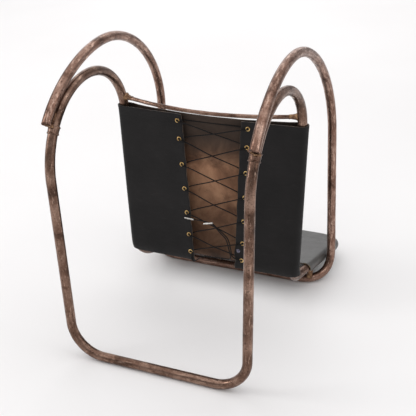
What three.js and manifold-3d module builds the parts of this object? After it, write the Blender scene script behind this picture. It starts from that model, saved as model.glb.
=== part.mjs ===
// A magazine rack: three bent tubes, a cross rod and two leather slings.
//
// Millimetres, +Z up. The origin is on the floor, under the middle of the rack's outline.
// The seat is at the front, towards -Y. The laced side of the back is towards +Y.
// "Depth" is measured forwards (towards -Y) from the axis of the rear floor bar.
// Right is +X and left is -X.

import * as THREE from 'three';
import { mergeVertices } from 'three/addons/utils/BufferGeometryUtils.js';
import Module from 'manifold-3d';

const wasm = await Module();
wasm.setup();

// ---------------------------------------------------------------- driving dimensions

const GAP = 0.3;                  // clearance between pieces that touch

const TUBE_R = 7.5;               // all bent tubes: 15 mm outside diameter
const TUBE_SIDES = 12;
const REAR_Y = 224;               // the axis of the rear floor bar

const LEG_FOOT_X = 145;           // half the rear loop's width at the floor
const LEG_CORNER_R = 52;
const LEG_TOP = { depth: 6.5, z: 300 };         // where the leg starts to bend over
const ARCH_X = 151.9;             // the plane of the inner arches
const ARCH_PLANE_Z = 337;         // the legs reach that plane here
const ARCH_TOP = { depth: 128, z: 420 };
const COUPLING_AT = 0.34;         // how far along the rear shoulder the coupling sits
const COUPLING_LENGTH = 15;
const COUPLING_WALL = 1.6;

const UPRIGHT_TOP = { depth: 234, z: 325 };
const UPRIGHT_FOOT = { depth: 223.5, z: 92 };
const UPRIGHT_FOOT_X = 143.4;
const SPREAD_TOP_Z = 325;         // below this the uprights lean in towards each other
const RAIL_REAR = { x: 138.8, depth: 280, z: 46 };
const RAIL_FRONT = { x: 157.6, depth: 408, z: 32 };
const FRONT_BAR = { depth: 441, z: 25 };
const FRONT_CORNER = 34;
const FRONT_HANDLE = 20;

const LOOP_END = { depth: 17.3, z: 380 };       // the outer loop's cut end, behind the leg top
const LOOP_TOP = { depth: 185, z: 457 };
const LOOP_SHOULDER = { depth: 379, z: 268 };
const LOOP_ANKLE = { depth: 363, z: 54 };
const LOOP_FOOT_X = 170.8;        // half the outer loop's width at the floor
const LOOP_NARROWING = 0.041;     // its sides lean in by this much for each mm of height
const LOOP_BAR_DEPTH = 322;
const LOOP_BAR_HALF = 117;        // half the straight stretch of the front floor bar
const LOOP_BORE_R = 6.4;
const LOOP_BORE_DEPTH = 8;

const ROD_R = 3.2;                // the cross rod above the back
const ROD_Z = 350;
const ROD_BOW = 23;
const ROD_SAG = 2.5;

const STRUT_R = 5;                // the short struts between the front floor bar and the seat rails
const STRUT_X = 141;

const LEATHER = 2.3;
const SLEEVE_R = TUBE_R + 0.35;   // inside radius of the leather round a tube
const BACK_BOTTOM = 72;
const FLARE_TOP_Z = 86;             // below this the back hangs looser round the bends
const BACK_TOP = 337;
const BACK_SHEET_BOW = 18;        // how far the middle of the back's top edge bows to the rear
const BACK_FLAP_BOW = 6;          // the same for the laced flaps
const BACK_BOW_ENDS_Z = 130;      // below this the back is flat
const SEAT_REAR_DEPTH = 298;      // the seat's rear mouth, at the top
const SEAT_REAR_DEPTH_BELOW = 336;              // and underneath, cut back to clear the struts
const SEAT_SAG = 3;
const SEAT_FLAP_X = 30;

// The laced gap is a little to the left of the middle, and narrows downwards.
const EYELET_ROWS = [325, 294, 250, 207, 163.5, 123, 91];
const LEFT_FLAP = { top: -57.5, bottom: -42, eyeletTop: -69, eyeletBottom: -56 };
const RIGHT_FLAP = { top: 41.5, bottom: 29.5, eyeletTop: 50.5, eyeletBottom: 37 };
const SEAT_EYELET_ROWS = [396, 376, 356, 342];
const SEAT_EYELET_X = 40;
const EYELET_HOLE_R = 1.9;
const EYELET_BARREL_R = 2.3;
const EYELET_FLANGE_R = 3.8;
const EYELET_FLANGE = 0.7;
const PUNCH_R = EYELET_BARREL_R + GAP;

const LACE_R = 0.95;
const LACE_LIFT = 2.3;            // lace axis above the leather, where it passes over a flange
const AGLET_R = 1.5;
const AGLET_LENGTH = 16;
const STUD_R = 4;

// ---------------------------------------------------------------- materials

const copper = new THREE.MeshStandardMaterial({ color: 0x7a5b4d, roughness: 0.42, metalness: 1 });
const braze = new THREE.MeshStandardMaterial({ color: 0xb98a4e, roughness: 0.5, metalness: 1 });
const blackLeather = new THREE.MeshStandardMaterial({ color: 0x262424, roughness: 0.6, metalness: 0 });
const eyeletBrass = new THREE.MeshStandardMaterial({ color: 0xcaa054, roughness: 0.3, metalness: 1 });
const laceBlack = new THREE.MeshStandardMaterial({ color: 0x151414, roughness: 0.8, metalness: 0 });
const blackEnamel = new THREE.MeshStandardMaterial({ color: 0x1b1a1c, roughness: 0.25, metalness: 0.2 });
const tipSteel = new THREE.MeshStandardMaterial({ color: 0xc9c7c2, roughness: 0.25, metalness: 1 });

// ---------------------------------------------------------------- helpers

const SIDES = [['left', -1], ['right', 1]];

function at(x, depth, z) {
  return new THREE.Vector3(x, REAR_Y - depth, z);
}

function lerp(a, b, t) {
  return a + (b - a) * t;
}

// A curve made of stretches, each with its own number of steps: few where it is straight.
class SteppedPath extends THREE.Curve {
  constructor(stretches) {
    super();
    this.stretches = stretches;
    this.count = stretches.reduce((sum, [, steps]) => sum + steps, 0);
  }

  locate(t) {
    let station = t * this.count;
    for (const [curve, steps] of this.stretches) {
      if (station <= steps + 1e-6) return [curve, Math.min(station / steps, 1)];
      station -= steps;
    }
    const [curve] = this.stretches.at(-1);
    return [curve, 1];
  }

  getPoint(t) {
    const [curve, local] = this.locate(t);
    return curve.getPoint(local);
  }

  getPointAt(t) {
    return this.getPoint(t);
  }

  getTangentAt(t) {
    const [curve, local] = this.locate(t);
    return curve.getTangent(local);
  }
}

// Part of a curve, from one parameter to another.
class PartOf extends THREE.Curve {
  constructor(curve, from, to) {
    super();
    this.curve = curve;
    this.from = from;
    this.to = to;
  }

  getPoint(t) {
    return this.curve.getPoint(lerp(this.from, this.to, t));
  }
}

function line(a, b) {
  return new THREE.LineCurve3(a, b);
}

// A smooth bend from a to b that leaves a along directionA and arrives at b along directionB.
function bend(a, directionA, handleA, b, directionB, handleB) {
  const first = a.clone().addScaledVector(directionA.clone().normalize(), handleA);
  const second = b.clone().addScaledVector(directionB.clone().normalize(), -handleB);
  return new THREE.CubicBezierCurve3(a, first, second, b);
}

function disc(radius, sides) {
  const points = [];
  for (let i = 0; i < sides; i += 1) {
    const angle = (i / sides) * 2 * Math.PI;
    points.push(new THREE.Vector2(radius * Math.cos(angle), radius * Math.sin(angle)));
  }
  return new THREE.Shape(points);
}

function rodAlong(path, radius, sides) {
  return new THREE.ExtrudeGeometry(disc(radius, sides), {
    steps: path.count,
    extrudePath: path,
    bevelEnabled: false,
  });
}

function straightRod(a, b, radius, sides) {
  return rodAlong(new SteppedPath([[line(a, b), 1]]), radius, sides);
}

function solid(geometry) {
  const bare = geometry.clone();
  bare.deleteAttribute('normal');
  bare.deleteAttribute('uv');
  const merged = mergeVertices(bare, 1e-4);
  return new wasm.Manifold(new wasm.Mesh({
    numProp: 3,
    vertProperties: new Float32Array(merged.attributes.position.array),
    triVerts: new Uint32Array(merged.index.array),
  }));
}

function geometryOf(manifold) {
  const mesh = manifold.getMesh();
  const geometry = new THREE.BufferGeometry();
  geometry.setAttribute('position', new THREE.BufferAttribute(new Float32Array(mesh.vertProperties), 3));
  geometry.setIndex(new THREE.BufferAttribute(new Uint32Array(mesh.triVerts), 1));
  geometry.computeVertexNormals();
  return geometry;
}

function cut(geometry, tools) {
  let result = solid(geometry);
  for (const tool of tools) result = result.subtract(solid(tool));
  return geometryOf(result);
}

const rack = new THREE.Group();

function add(name, geometry, material) {
  const mesh = new THREE.Mesh(geometry, material);
  mesh.name = name;
  rack.add(mesh);
  return mesh;
}

// ---------------------------------------------------------------- the tubes' routes

function legX(z) {
  return lerp(LEG_FOOT_X, ARCH_X, Math.min(z / ARCH_PLANE_Z, 1));
}

function legPoint(side, z) {
  return at(side * legX(z), (LEG_TOP.depth * z) / LEG_TOP.z, z);
}

// The rear shoulder, from the top of the leg to the top of the inner arch.
function rearShoulder(side) {
  const foot = at(side * ARCH_X, LEG_TOP.depth, LEG_TOP.z);
  const crown = at(side * ARCH_X, ARCH_TOP.depth, ARCH_TOP.z);
  const up = new THREE.Vector3(0, -LEG_TOP.depth, LEG_TOP.z);
  return bend(foot, up, 67, crown, new THREE.Vector3(0, -1, 0), 67);
}

function uprightDepth(z) {
  const t = (z - UPRIGHT_FOOT.z) / (UPRIGHT_TOP.z - UPRIGHT_FOOT.z);
  return lerp(UPRIGHT_FOOT.depth, UPRIGHT_TOP.depth, t);
}

function uprightX(z) {
  const t = (SPREAD_TOP_Z - z) / (SPREAD_TOP_Z - UPRIGHT_FOOT.z);
  return lerp(ARCH_X, UPRIGHT_FOOT_X, Math.max(t, 0));
}

const railDirection = (side) => at(side * RAIL_FRONT.x, RAIL_FRONT.depth, RAIL_FRONT.z)
  .sub(at(side * RAIL_REAR.x, RAIL_REAR.depth, RAIL_REAR.z));

function lowerBend(side) {
  const start = at(side * UPRIGHT_FOOT_X, UPRIGHT_FOOT.depth, UPRIGHT_FOOT.z);
  const top = at(side * ARCH_X, UPRIGHT_TOP.depth, UPRIGHT_TOP.z);
  const end = at(side * RAIL_REAR.x, RAIL_REAR.depth, RAIL_REAR.z);
  return bend(start, start.clone().sub(top), 25, end, railDirection(side), 27);
}

function innerSidePath(side) {
  const gapAtCoupling = 0.0015;
  const top = at(side * ARCH_X, UPRIGHT_TOP.depth, UPRIGHT_TOP.z);
  const foot = at(side * UPRIGHT_FOOT_X, UPRIGHT_FOOT.depth, UPRIGHT_FOOT.z);
  const railStart = at(side * RAIL_REAR.x, RAIL_REAR.depth, RAIL_REAR.z);
  const railEnd = at(side * RAIL_FRONT.x, RAIL_FRONT.depth, RAIL_FRONT.z);
  return new SteppedPath([
    [new PartOf(rearShoulder(side), COUPLING_AT + gapAtCoupling, 1), 6],
    [crownBend(side), 8],
    [line(top, foot), 2],
    [lowerBend(side), 8],
    [line(railStart, railEnd), 2],
  ]);
}

function seatFrontPath() {
  const reach = RAIL_FRONT.x - FRONT_CORNER;
  const leftEnd = at(-RAIL_FRONT.x, RAIL_FRONT.depth + GAP, RAIL_FRONT.z);
  const rightEnd = at(RAIL_FRONT.x, RAIL_FRONT.depth + GAP, RAIL_FRONT.z);
  const leftBar = at(-reach, FRONT_BAR.depth, FRONT_BAR.z);
  const rightBar = at(reach, FRONT_BAR.depth, FRONT_BAR.z);
  const across = new THREE.Vector3(1, 0, 0);
  const backAgain = railDirection(1).negate();
  return new SteppedPath([
    [bend(leftEnd, railDirection(-1), FRONT_HANDLE, leftBar, across, FRONT_HANDLE), 6],
    [line(leftBar, rightBar), 2],
    [bend(rightBar, across, FRONT_HANDLE, rightEnd, backAgain, FRONT_HANDLE), 6],
  ]);
}

function rearLoopPath() {
  const stretches = [];
  const cornerTopZ = TUBE_R + LEG_CORNER_R;
  const barHalf = LEG_FOOT_X - LEG_CORNER_R;
  const barLeft = at(-barHalf, 0, TUBE_R);
  const barRight = at(barHalf, 0, TUBE_R);
  const across = new THREE.Vector3(1, 0, 0);
  const handle = 0.5523 * LEG_CORNER_R;
  const ends = {};
  for (const [name, side] of SIDES) {
    ends[name] = {
      corner: legPoint(side, cornerTopZ),
      top: at(side * ARCH_X, LEG_TOP.depth, LEG_TOP.z),
    };
  }
  const upLeft = ends.left.top.clone().sub(ends.left.corner);
  const upRight = ends.right.top.clone().sub(ends.right.corner);
  const shoulderEnd = COUPLING_AT - 0.0015;
  stretches.push([new PartOf(rearShoulder(-1), shoulderEnd, 0), 4]);
  stretches.push([line(ends.left.top, ends.left.corner), 2]);
  stretches.push([bend(ends.left.corner, upLeft.clone().negate(), handle, barLeft, across, handle), 8]);
  stretches.push([line(barLeft, barRight), 2]);
  stretches.push([bend(barRight, across, handle, ends.right.corner, upRight, handle), 8]);
  stretches.push([line(ends.right.corner, ends.right.top), 2]);
  stretches.push([new PartOf(rearShoulder(1), 0, shoulderEnd), 4]);
  return new SteppedPath(stretches);
}

function loopX(z) {
  return LOOP_FOOT_X - LOOP_NARROWING * z;
}

function loopPoint(side, place) {
  return at(side * loopX(place.z), place.depth, place.z);
}

function outerSidePath(side) {
  const end = loopPoint(side, LOOP_END);
  const crown = loopPoint(side, LOOP_TOP);
  const shoulder = loopPoint(side, LOOP_SHOULDER);
  const ankle = loopPoint(side, LOOP_ANKLE);
  const climb = new THREE.Vector3(0, -0.62, 0.78);
  const forwards = new THREE.Vector3(0, -1, 0);
  return new SteppedPath([
    [bend(end, climb, 55, crown, forwards, 70), 10],
    [bend(crown, forwards, 101, shoulder, ankle.clone().sub(shoulder), 98), 10],
    [line(shoulder, ankle), 2],
  ]);
}

function loopBarPath() {
  const barLeft = at(-LOOP_BAR_HALF, LOOP_BAR_DEPTH, TUBE_R);
  const barRight = at(LOOP_BAR_HALF, LOOP_BAR_DEPTH, TUBE_R);
  const across = new THREE.Vector3(1, 0, 0);
  const ankles = {};
  const rises = {};
  for (const [name, side] of SIDES) {
    ankles[name] = loopPoint(side, { depth: LOOP_ANKLE.depth, z: LOOP_ANKLE.z - GAP });
    rises[name] = loopPoint(side, LOOP_SHOULDER).sub(ankles[name]);
  }
  return new SteppedPath([
    [bend(ankles.left, rises.left.clone().negate(), 40, barLeft, across, 47), 10],
    [line(barLeft, barRight), 2],
    [bend(barRight, across, 47, ankles.right, rises.right, 40), 10],
  ]);
}

// ---------------------------------------------------------------- the frame

function addTubes() {
  add('rear_leg_loop', rodAlong(rearLoopPath(), TUBE_R, TUBE_SIDES), copper);
  for (const [name, side] of SIDES) {
    add(`${name}_inner_arch`, rodAlong(innerSidePath(side), TUBE_R, TUBE_SIDES), copper);
    const path = outerSidePath(side);
    const mouth = path.getPoint(0);
    const inwards = path.getTangentAt(0);
    const bore = straightRod(
      mouth.clone().addScaledVector(inwards, -1),
      mouth.clone().addScaledVector(inwards, LOOP_BORE_DEPTH),
      LOOP_BORE_R,
      TUBE_SIDES,
    );
    add(`${name}_outer_arch`, cut(rodAlong(path, TUBE_R, TUBE_SIDES), [bore]), copper);
  }
  add('front_floor_bar', rodAlong(loopBarPath(), TUBE_R, TUBE_SIDES), copper);
  add('seat_front_bar', rodAlong(seatFrontPath(), TUBE_R, TUBE_SIDES), copper);
}

// A collar over the butt joint between each leg and its inner arch.
function addCouplings() {
  const inside = TUBE_R + 0.75;
  const outside = inside + COUPLING_WALL;
  const half = COUPLING_LENGTH / 2;
  const profile = [
    new THREE.Vector2(inside, -half),
    new THREE.Vector2(outside - 0.5, -half),
    new THREE.Vector2(outside, -half + 1.5),
    new THREE.Vector2(outside, half - 1.5),
    new THREE.Vector2(outside - 0.5, half),
    new THREE.Vector2(inside, half),
    new THREE.Vector2(inside, -half),
  ];
  for (const [name, side] of SIDES) {
    const shoulder = rearShoulder(side);
    const centre = shoulder.getPoint(COUPLING_AT);
    const axis = shoulder.getTangent(COUPLING_AT);
    const ring = new THREE.LatheGeometry(profile, 20);
    ring.applyQuaternion(new THREE.Quaternion().setFromUnitVectors(new THREE.Vector3(0, 1, 0), axis));
    ring.translate(centre.x, centre.y, centre.z);
    add(`${name}_coupling`, ring, copper);
  }
}

function widened(path) {
  return rodAlong(path, TUBE_R + GAP, TUBE_SIDES);
}

// Braze between the outer loop's cut end and the leg, just above the coupling.
function addBrazeBeads() {
  for (const [name, side] of SIDES) {
    const inner = rearShoulder(side).getPoint(0.5);
    const outer = outerSidePath(side).getPoint(0.06);
    const middle = inner.clone().add(outer).multiplyScalar(0.5);
    const bead = new THREE.SphereGeometry(1, 14, 10);
    bead.scale(6.5, 5, 9);
    bead.translate(middle.x, middle.y, middle.z);
    const around = [widened(innerSidePath(side)), widened(outerSidePath(side))];
    const kept = cut(bead, around).toNonIndexed();
    add(`${name}_braze_bead`, largestPiece(kept), braze);
  }
}

// A cut bead falls into two halves. This keeps the bigger one.
function largestPiece(geometry) {
  const pieces = solid(geometry).decompose();
  pieces.sort((a, b) => b.volume() - a.volume());
  return geometryOf(pieces[0]);
}

// The rod across the tops of the uprights, bowed to the rear.
function rodPath() {
  const depth = heightOn(crownBend(1), ROD_Z).depth;
  const reach = ARCH_X - TUBE_R - GAP;
  const left = at(-reach, depth, ROD_Z);
  const right = at(reach, depth, ROD_Z);
  const out = new THREE.Vector3(reach, 2 * ROD_BOW, -2 * ROD_SAG);
  const back = new THREE.Vector3(reach, -2 * ROD_BOW, 2 * ROD_SAG);
  const handle = (out.length() * 2) / 3;
  return new SteppedPath([[bend(left, out, handle, right, back, handle), 16]]);
}

function addCrossRod() {
  add('cross_rod', rodAlong(rodPath(), ROD_R, 10), copper);
  const inside = ROD_R + GAP;
  const profile = [
    new THREE.Vector2(inside, -3),
    new THREE.Vector2(inside + 3.4, -3),
    new THREE.Vector2(inside + 2, 2.5),
    new THREE.Vector2(inside + 0.6, 6.5),
    new THREE.Vector2(inside, 6.5),
    new THREE.Vector2(inside, -3),
  ];
  for (const [name, side] of SIDES) {
    const path = rodPath();
    const end = path.getPoint(side > 0 ? 1 : 0);
    const inwards = path.getTangentAt(side > 0 ? 1 : 0).multiplyScalar(-side);
    const fillet = new THREE.LatheGeometry(profile, 12);
    fillet.applyQuaternion(new THREE.Quaternion().setFromUnitVectors(new THREE.Vector3(0, 1, 0), inwards));
    fillet.translate(end.x, end.y, end.z);
    add(`${name}_rod_braze`, cut(fillet, [widened(innerSidePath(side))]), braze);
  }
}

// A post from the front floor bar up to each seat rail.
function addStruts() {
  for (const [name, side] of SIDES) {
    const low = at(side * STRUT_X, LOOP_BAR_DEPTH + 2, 12);
    const high = at(side * railX(LOOP_BAR_DEPTH), LOOP_BAR_DEPTH, railZ(LOOP_BAR_DEPTH));
    const post = straightRod(low, high, STRUT_R, 12);
    const tools = [widened(loopBarPath()), widened(innerSidePath(side))];
    add(`${name}_seat_strut`, largestPiece(cut(post, tools)), braze);
  }
}

// ---------------------------------------------------------------- the leather slings

// Places on the uprights and the rails that the leather is wrapped round.
function crownBend(side) {
  const crown = at(side * ARCH_X, ARCH_TOP.depth, ARCH_TOP.z);
  const top = at(side * ARCH_X, UPRIGHT_TOP.depth, UPRIGHT_TOP.z);
  const foot = at(side * UPRIGHT_FOOT_X, UPRIGHT_FOOT.depth, UPRIGHT_FOOT.z);
  return bend(crown, new THREE.Vector3(0, -1, 0), 59, top, foot.clone().sub(top), 53);
}

// The point at a given height on a curve that descends all the way.
function heightOn(curve, z) {
  let high = 0;
  let low = 1;
  for (let i = 0; i < 40; i += 1) {
    const middle = (high + low) / 2;
    if (curve.getPoint(middle).z > z) high = middle;
    else low = middle;
  }
  const point = curve.getPoint(high);
  return { x: Math.abs(point.x), depth: REAR_Y - point.y };
}

function uprightAt(z) {
  if (z > UPRIGHT_TOP.z) return heightOn(crownBend(1), z);
  if (z < UPRIGHT_FOOT.z) return heightOn(lowerBend(1), z);
  return { x: uprightX(z), depth: uprightDepth(z) };
}

function railX(depth) {
  return lerp(RAIL_REAR.x, RAIL_FRONT.x, (depth - RAIL_REAR.depth) / (RAIL_FRONT.depth - RAIL_REAR.depth));
}

function railZ(depth) {
  return lerp(RAIL_REAR.z, RAIL_FRONT.z, (depth - RAIL_REAR.depth) / (RAIL_FRONT.depth - RAIL_REAR.depth));
}

function betweenRows(ends, z) {
  return lerp(ends.bottom, ends.top, (z - BACK_BOTTOM) / (BACK_TOP - BACK_BOTTOM));
}

function bowAt(z) {
  const t = (z - BACK_BOW_ENDS_Z) / (BACK_TOP - BACK_BOW_ENDS_Z);
  return Math.max(t, 0) ** 1.4;
}

const backSling = {
  half: (z) => uprightAt(z).x,
  place: (s, n, z) => at(s, uprightAt(z).depth + n, z),
  sheetBow: (z) => BACK_SHEET_BOW * bowAt(z),
  flapBow: (z) => BACK_FLAP_BOW * bowAt(z),
  looseness: (z) => Math.max(FLARE_TOP_Z - z, 0) * 0.15 + Math.max(z - UPRIGHT_TOP.z, 0) * 0.04,
  leftEdge: (z) => betweenRows(LEFT_FLAP, z),
  rightEdge: (z) => betweenRows(RIGHT_FLAP, z),
  from: () => BACK_BOTTOM,
  to: () => BACK_TOP,
  fractions: [0, 0.035, 0.072, 0.1, 0.3, 0.5, 0.7, 0.85, 0.955, 1],
};

// In front of the rails the seat slopes down to its front bar.
function seatZ(depth) {
  const past = (depth - RAIL_FRONT.depth) / (FRONT_BAR.depth - RAIL_FRONT.depth);
  const share = Math.min(Math.max(past, 0), 1);
  return lerp(railZ(Math.min(depth, RAIL_FRONT.depth)), FRONT_BAR.z, share);
}

// The seat's front edge follows the inside of the hem round the seat's front bar.
function seatFrontEdge(s) {
  const bendCentre = RAIL_FRONT.x - FRONT_CORNER;
  const inner = FRONT_CORNER - SLEEVE_R - LEATHER;
  const beyond = Math.abs(s) - bendCentre;
  const straight = RAIL_FRONT.depth - 1.5;
  if (beyond <= 0) return straight + inner;
  if (beyond >= inner) return straight;
  return straight + Math.sqrt(inner ** 2 - beyond ** 2);
}

const seatSling = {
  half: (depth) => railX(Math.min(depth, RAIL_FRONT.depth)),
  place: (s, n, depth) => at(s, depth, seatZ(depth) + n),
  sheetBow: () => SEAT_SAG,
  flapBow: () => 0,
  looseness: () => 0,
  leftEdge: () => -SEAT_FLAP_X,
  rightEdge: () => SEAT_FLAP_X,
  from: (s, n) => lerp(SEAT_REAR_DEPTH_BELOW, SEAT_REAR_DEPTH, Math.min(Math.max((n + 7) / 6, 0), 1)),
  to: (s, n) => (n > 0 ? seatFrontEdge(s) : RAIL_FRONT.depth - 1.5),
  fractions: [0, 0.25, 0.5, 0.75, 1],
};

const SHEET_STOPS = [-0.95, -0.9, -0.8, -0.55, -0.28, 0, 0.28, 0.55, 0.8, 0.9, 0.95];
const FLAP_STEPS = 4;
const WRAP_STEPS = 8;
const SEAM = 0.006;                // half the seam between sheet and flap, as a share of a half turn

// One face of a sling's cross-section: the left flap, the sheet and the right flap, which
// part along the outer sides of the tubes. Each entry gives the place across (s) and the
// height above the tubes' plane (n).
function slingFace(sling, radius) {
  const size = (station) => radius + sling.looseness(station);
  const arch = (s, station) => 1 - (s / sling.half(station)) ** 2;
  const wrap = (side, turn) => (station) => {
    const angle = (turn - 0.5) * Math.PI;
    const s = side * (sling.half(station) + size(station) * Math.cos(angle));
    return [s, size(station) * Math.sin(angle)];
  };
  const wraps = (side, from, to) => {
    const steps = WRAP_STEPS / 2;
    return Array.from({ length: steps + 1 }, (_, i) => wrap(side, lerp(from, to, i / steps)));
  };
  const flapFrom = (side, edgeAt) => Array.from({ length: FLAP_STEPS }, (_, i) => (station) => {
    const s = lerp(edgeAt(station), side * sling.half(station), i / FLAP_STEPS);
    return [s, -size(station) - sling.flapBow(station) * arch(s, station)];
  });
  const sheet = SHEET_STOPS.map((stop) => (station) => {
    const s = stop * sling.half(station);
    return [s, size(station) - sling.sheetBow(station) * arch(s, station)];
  });
  return {
    left_flap: [...flapFrom(-1, sling.leftEdge), ...wraps(-1, 0, 0.5 - SEAM)],
    sheet: [...wraps(-1, 0.5 + SEAM, 1), ...sheet, ...wraps(1, 0.5 + SEAM, 1).reverse()],
    right_flap: [...flapFrom(1, sling.rightEdge), ...wraps(1, 0, 0.5 - SEAM)],
  };
}

// A closed solid through a row of matching rings. The second half of each ring runs back
// beside the first half, so the two ends close with a strip of quads.
function loft(rings) {
  const size = rings[0].length;
  const positions = rings.flat().flatMap((point) => [point.x, point.y, point.z]);
  const index = [];
  for (let k = 0; k + 1 < rings.length; k += 1) {
    for (let i = 0; i < size; i += 1) {
      const a = k * size + i;
      const b = k * size + ((i + 1) % size);
      index.push(a, b, b + size, a, b + size, a + size);
    }
  }
  const base = (rings.length - 1) * size;
  for (let i = 0; i + 1 < size / 2; i += 1) {
    const [a, b, c, d] = [i, i + 1, size - 2 - i, size - 1 - i];
    index.push(b, a, d, b, d, c);
    index.push(base + a, base + b, base + c, base + a, base + c, base + d);
  }
  const geometry = new THREE.BufferGeometry();
  geometry.setAttribute('position', new THREE.Float32BufferAttribute(positions, 3));
  geometry.setIndex(index);
  return outwards(geometry);
}

// Turns a closed solid's faces the right way out.
function outwards(geometry) {
  const position = geometry.attributes.position;
  const index = geometry.index.array;
  const [a, b, c] = [new THREE.Vector3(), new THREE.Vector3(), new THREE.Vector3()];
  let volume = 0;
  for (let i = 0; i < index.length; i += 3) {
    a.fromBufferAttribute(position, index[i]);
    b.fromBufferAttribute(position, index[i + 1]);
    c.fromBufferAttribute(position, index[i + 2]);
    volume += a.dot(b.cross(c));
  }
  if (volume < 0) {
    for (let i = 0; i < index.length; i += 3) {
      [index[i + 1], index[i + 2]] = [index[i + 2], index[i + 1]];
    }
  }
  geometry.computeVertexNormals();
  return geometry;
}

function slingGeometry(sling, part) {
  const outer = slingFace(sling, SLEEVE_R + LEATHER)[part];
  const inner = slingFace(sling, SLEEVE_R)[part].reverse();
  const section = [...outer, ...inner];
  const rings = sling.fractions.map((fraction) => section.map((pointAt) => {
    const [s, n] = pointAt(lerp(sling.from(0, 0), sling.to(0, 0), fraction));
    const station = lerp(sling.from(s, n), sling.to(s, n), fraction);
    const [across, above] = pointAt(station);
    return sling.place(across, above, station);
  }));
  return loft(rings);
}

// A point above (or, with a negative lift, below) a sling's flap face.
function overFlap(sling, s, station, lift) {
  const facePoint = (across, along) => {
    const arch = 1 - (across / sling.half(along)) ** 2;
    const n = SLEEVE_R + LEATHER + sling.looseness(along) + sling.flapBow(along) * arch;
    return sling.place(across, -n, along);
  };
  const point = facePoint(s, station);
  const along = facePoint(s, station + 1).sub(facePoint(s, station - 1));
  const across = facePoint(s + 1, station).sub(facePoint(s - 1, station));
  const normal = along.cross(across).normalize();
  const outside = sling.place(s, -100, station).sub(point);
  if (normal.dot(outside) < 0) normal.negate();
  return { point: point.addScaledVector(normal, lift), normal };
}

// A rolled eyelet: flange outside, barrel through the leather, smaller flange inside.
function eyeletGeometry(sling, s, station) {
  const { point, normal } = overFlap(sling, s, station, 0);
  const inner = -LEATHER - GAP;
  const profile = [
    new THREE.Vector2(EYELET_HOLE_R, inner - 0.4),
    new THREE.Vector2(EYELET_FLANGE_R - 0.5, inner - 0.4),
    new THREE.Vector2(EYELET_FLANGE_R - 0.5, inner),
    new THREE.Vector2(EYELET_BARREL_R, inner),
    new THREE.Vector2(EYELET_BARREL_R, GAP),
    new THREE.Vector2(EYELET_FLANGE_R, GAP),
    new THREE.Vector2(EYELET_FLANGE_R - 0.5, GAP + EYELET_FLANGE * 0.75),
    new THREE.Vector2(EYELET_HOLE_R + 0.7, GAP + EYELET_FLANGE),
    new THREE.Vector2(EYELET_HOLE_R, GAP + 0.3),
    new THREE.Vector2(EYELET_HOLE_R, inner - 0.4),
  ];
  const ring = new THREE.LatheGeometry(profile, 10);
  ring.applyQuaternion(new THREE.Quaternion().setFromUnitVectors(new THREE.Vector3(0, 1, 0), normal));
  ring.translate(point.x, point.y, point.z);
  return ring;
}

function punch(sling, s, station) {
  const outside = overFlap(sling, s, station, 1).point;
  const inside = overFlap(sling, s, station, -LEATHER - 1).point;
  return straightRod(outside, inside, PUNCH_R, 14);
}

function backEyeletX(flap, z) {
  const t = (z - EYELET_ROWS.at(-1)) / (EYELET_ROWS[0] - EYELET_ROWS.at(-1));
  return lerp(flap.eyeletBottom, flap.eyeletTop, t);
}

function backEyelets() {
  return EYELET_ROWS.map((z) => ({
    station: z,
    left: backEyeletX(LEFT_FLAP, z),
    right: backEyeletX(RIGHT_FLAP, z),
  }));
}

function seatEyelets() {
  return SEAT_EYELET_ROWS.map((depth) => ({
    station: depth,
    left: -SEAT_EYELET_X,
    right: SEAT_EYELET_X,
  }));
}

function addSling(name, sling, rows) {
  add(`${name}_sheet`, slingGeometry(sling, 'sheet'), blackLeather);
  for (const side of ['left', 'right']) {
    const holes = rows.map((row) => punch(sling, row[side], row.station));
    add(`${name}_${side}_flap`, cut(slingGeometry(sling, `${side}_flap`), holes), blackLeather);
    rows.forEach((row, i) => {
      const ring = eyeletGeometry(sling, row[side], row.station);
      add(`${name}_eyelet_${side}_${i + 1}`, ring, eyeletBrass);
    });
  }
}

// The leather hem round the seat's front bar, open underneath.
function addSeatHem() {
  const path = seatFrontPath();
  const up = new THREE.Vector3(0, 0, 1);
  const turns = 14;
  const rings = [];
  for (let k = 0; k <= path.count; k += 1) {
    const centre = path.getPoint(k / path.count);
    const tangent = path.getTangentAt(k / path.count);
    const outside = tangent.clone().cross(up).normalize();
    const above = outside.clone().cross(tangent).normalize();
    const face = (radius) => {
      const points = [];
      for (let i = 0; i <= turns; i += 1) {
        const angle = lerp(-0.36, 1.36, i / turns) * Math.PI;
        const point = centre.clone();
        point.addScaledVector(outside, radius * Math.cos(angle));
        point.addScaledVector(above, radius * Math.sin(angle));
        points.push(point);
      }
      return points;
    };
    rings.push([...face(SLEEVE_R + LEATHER), ...face(SLEEVE_R + 0.2).reverse()]);
  }
  add('seat_front_hem', loft(rings), blackLeather);
}

// ---------------------------------------------------------------- the laces

class Strand {
  constructor(sling) {
    this.sling = sling;
    this.points = [];
  }

  over(s, station, lift) {
    this.points.push(overFlap(this.sling, s, station, lift).point);
    return this;
  }

  reversed() {
    const copy = new Strand(this.sling);
    copy.points = [...this.points].reverse();
    return copy;
  }
}

// Up through an eyelet from behind the flap, then back over its edge towards the gap.
function threadEyelet(strand, s, station, towardsGap, nextStation) {
  const below = -LEATHER - GAP - 0.4 - GAP - LACE_R;
  const drift = (nextStation - station) * 0.05;
  strand.over(s + towardsGap * 2.6, station, below - 0.4);
  strand.over(s + towardsGap * 0.4, station, below + 0.5);
  strand.over(s, station, -1);
  strand.over(s + towardsGap * 0.4, station + drift * 0.2, LACE_LIFT - 0.5);
  strand.over(s + towardsGap * 3.2, station + drift, LACE_LIFT);
}

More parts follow.
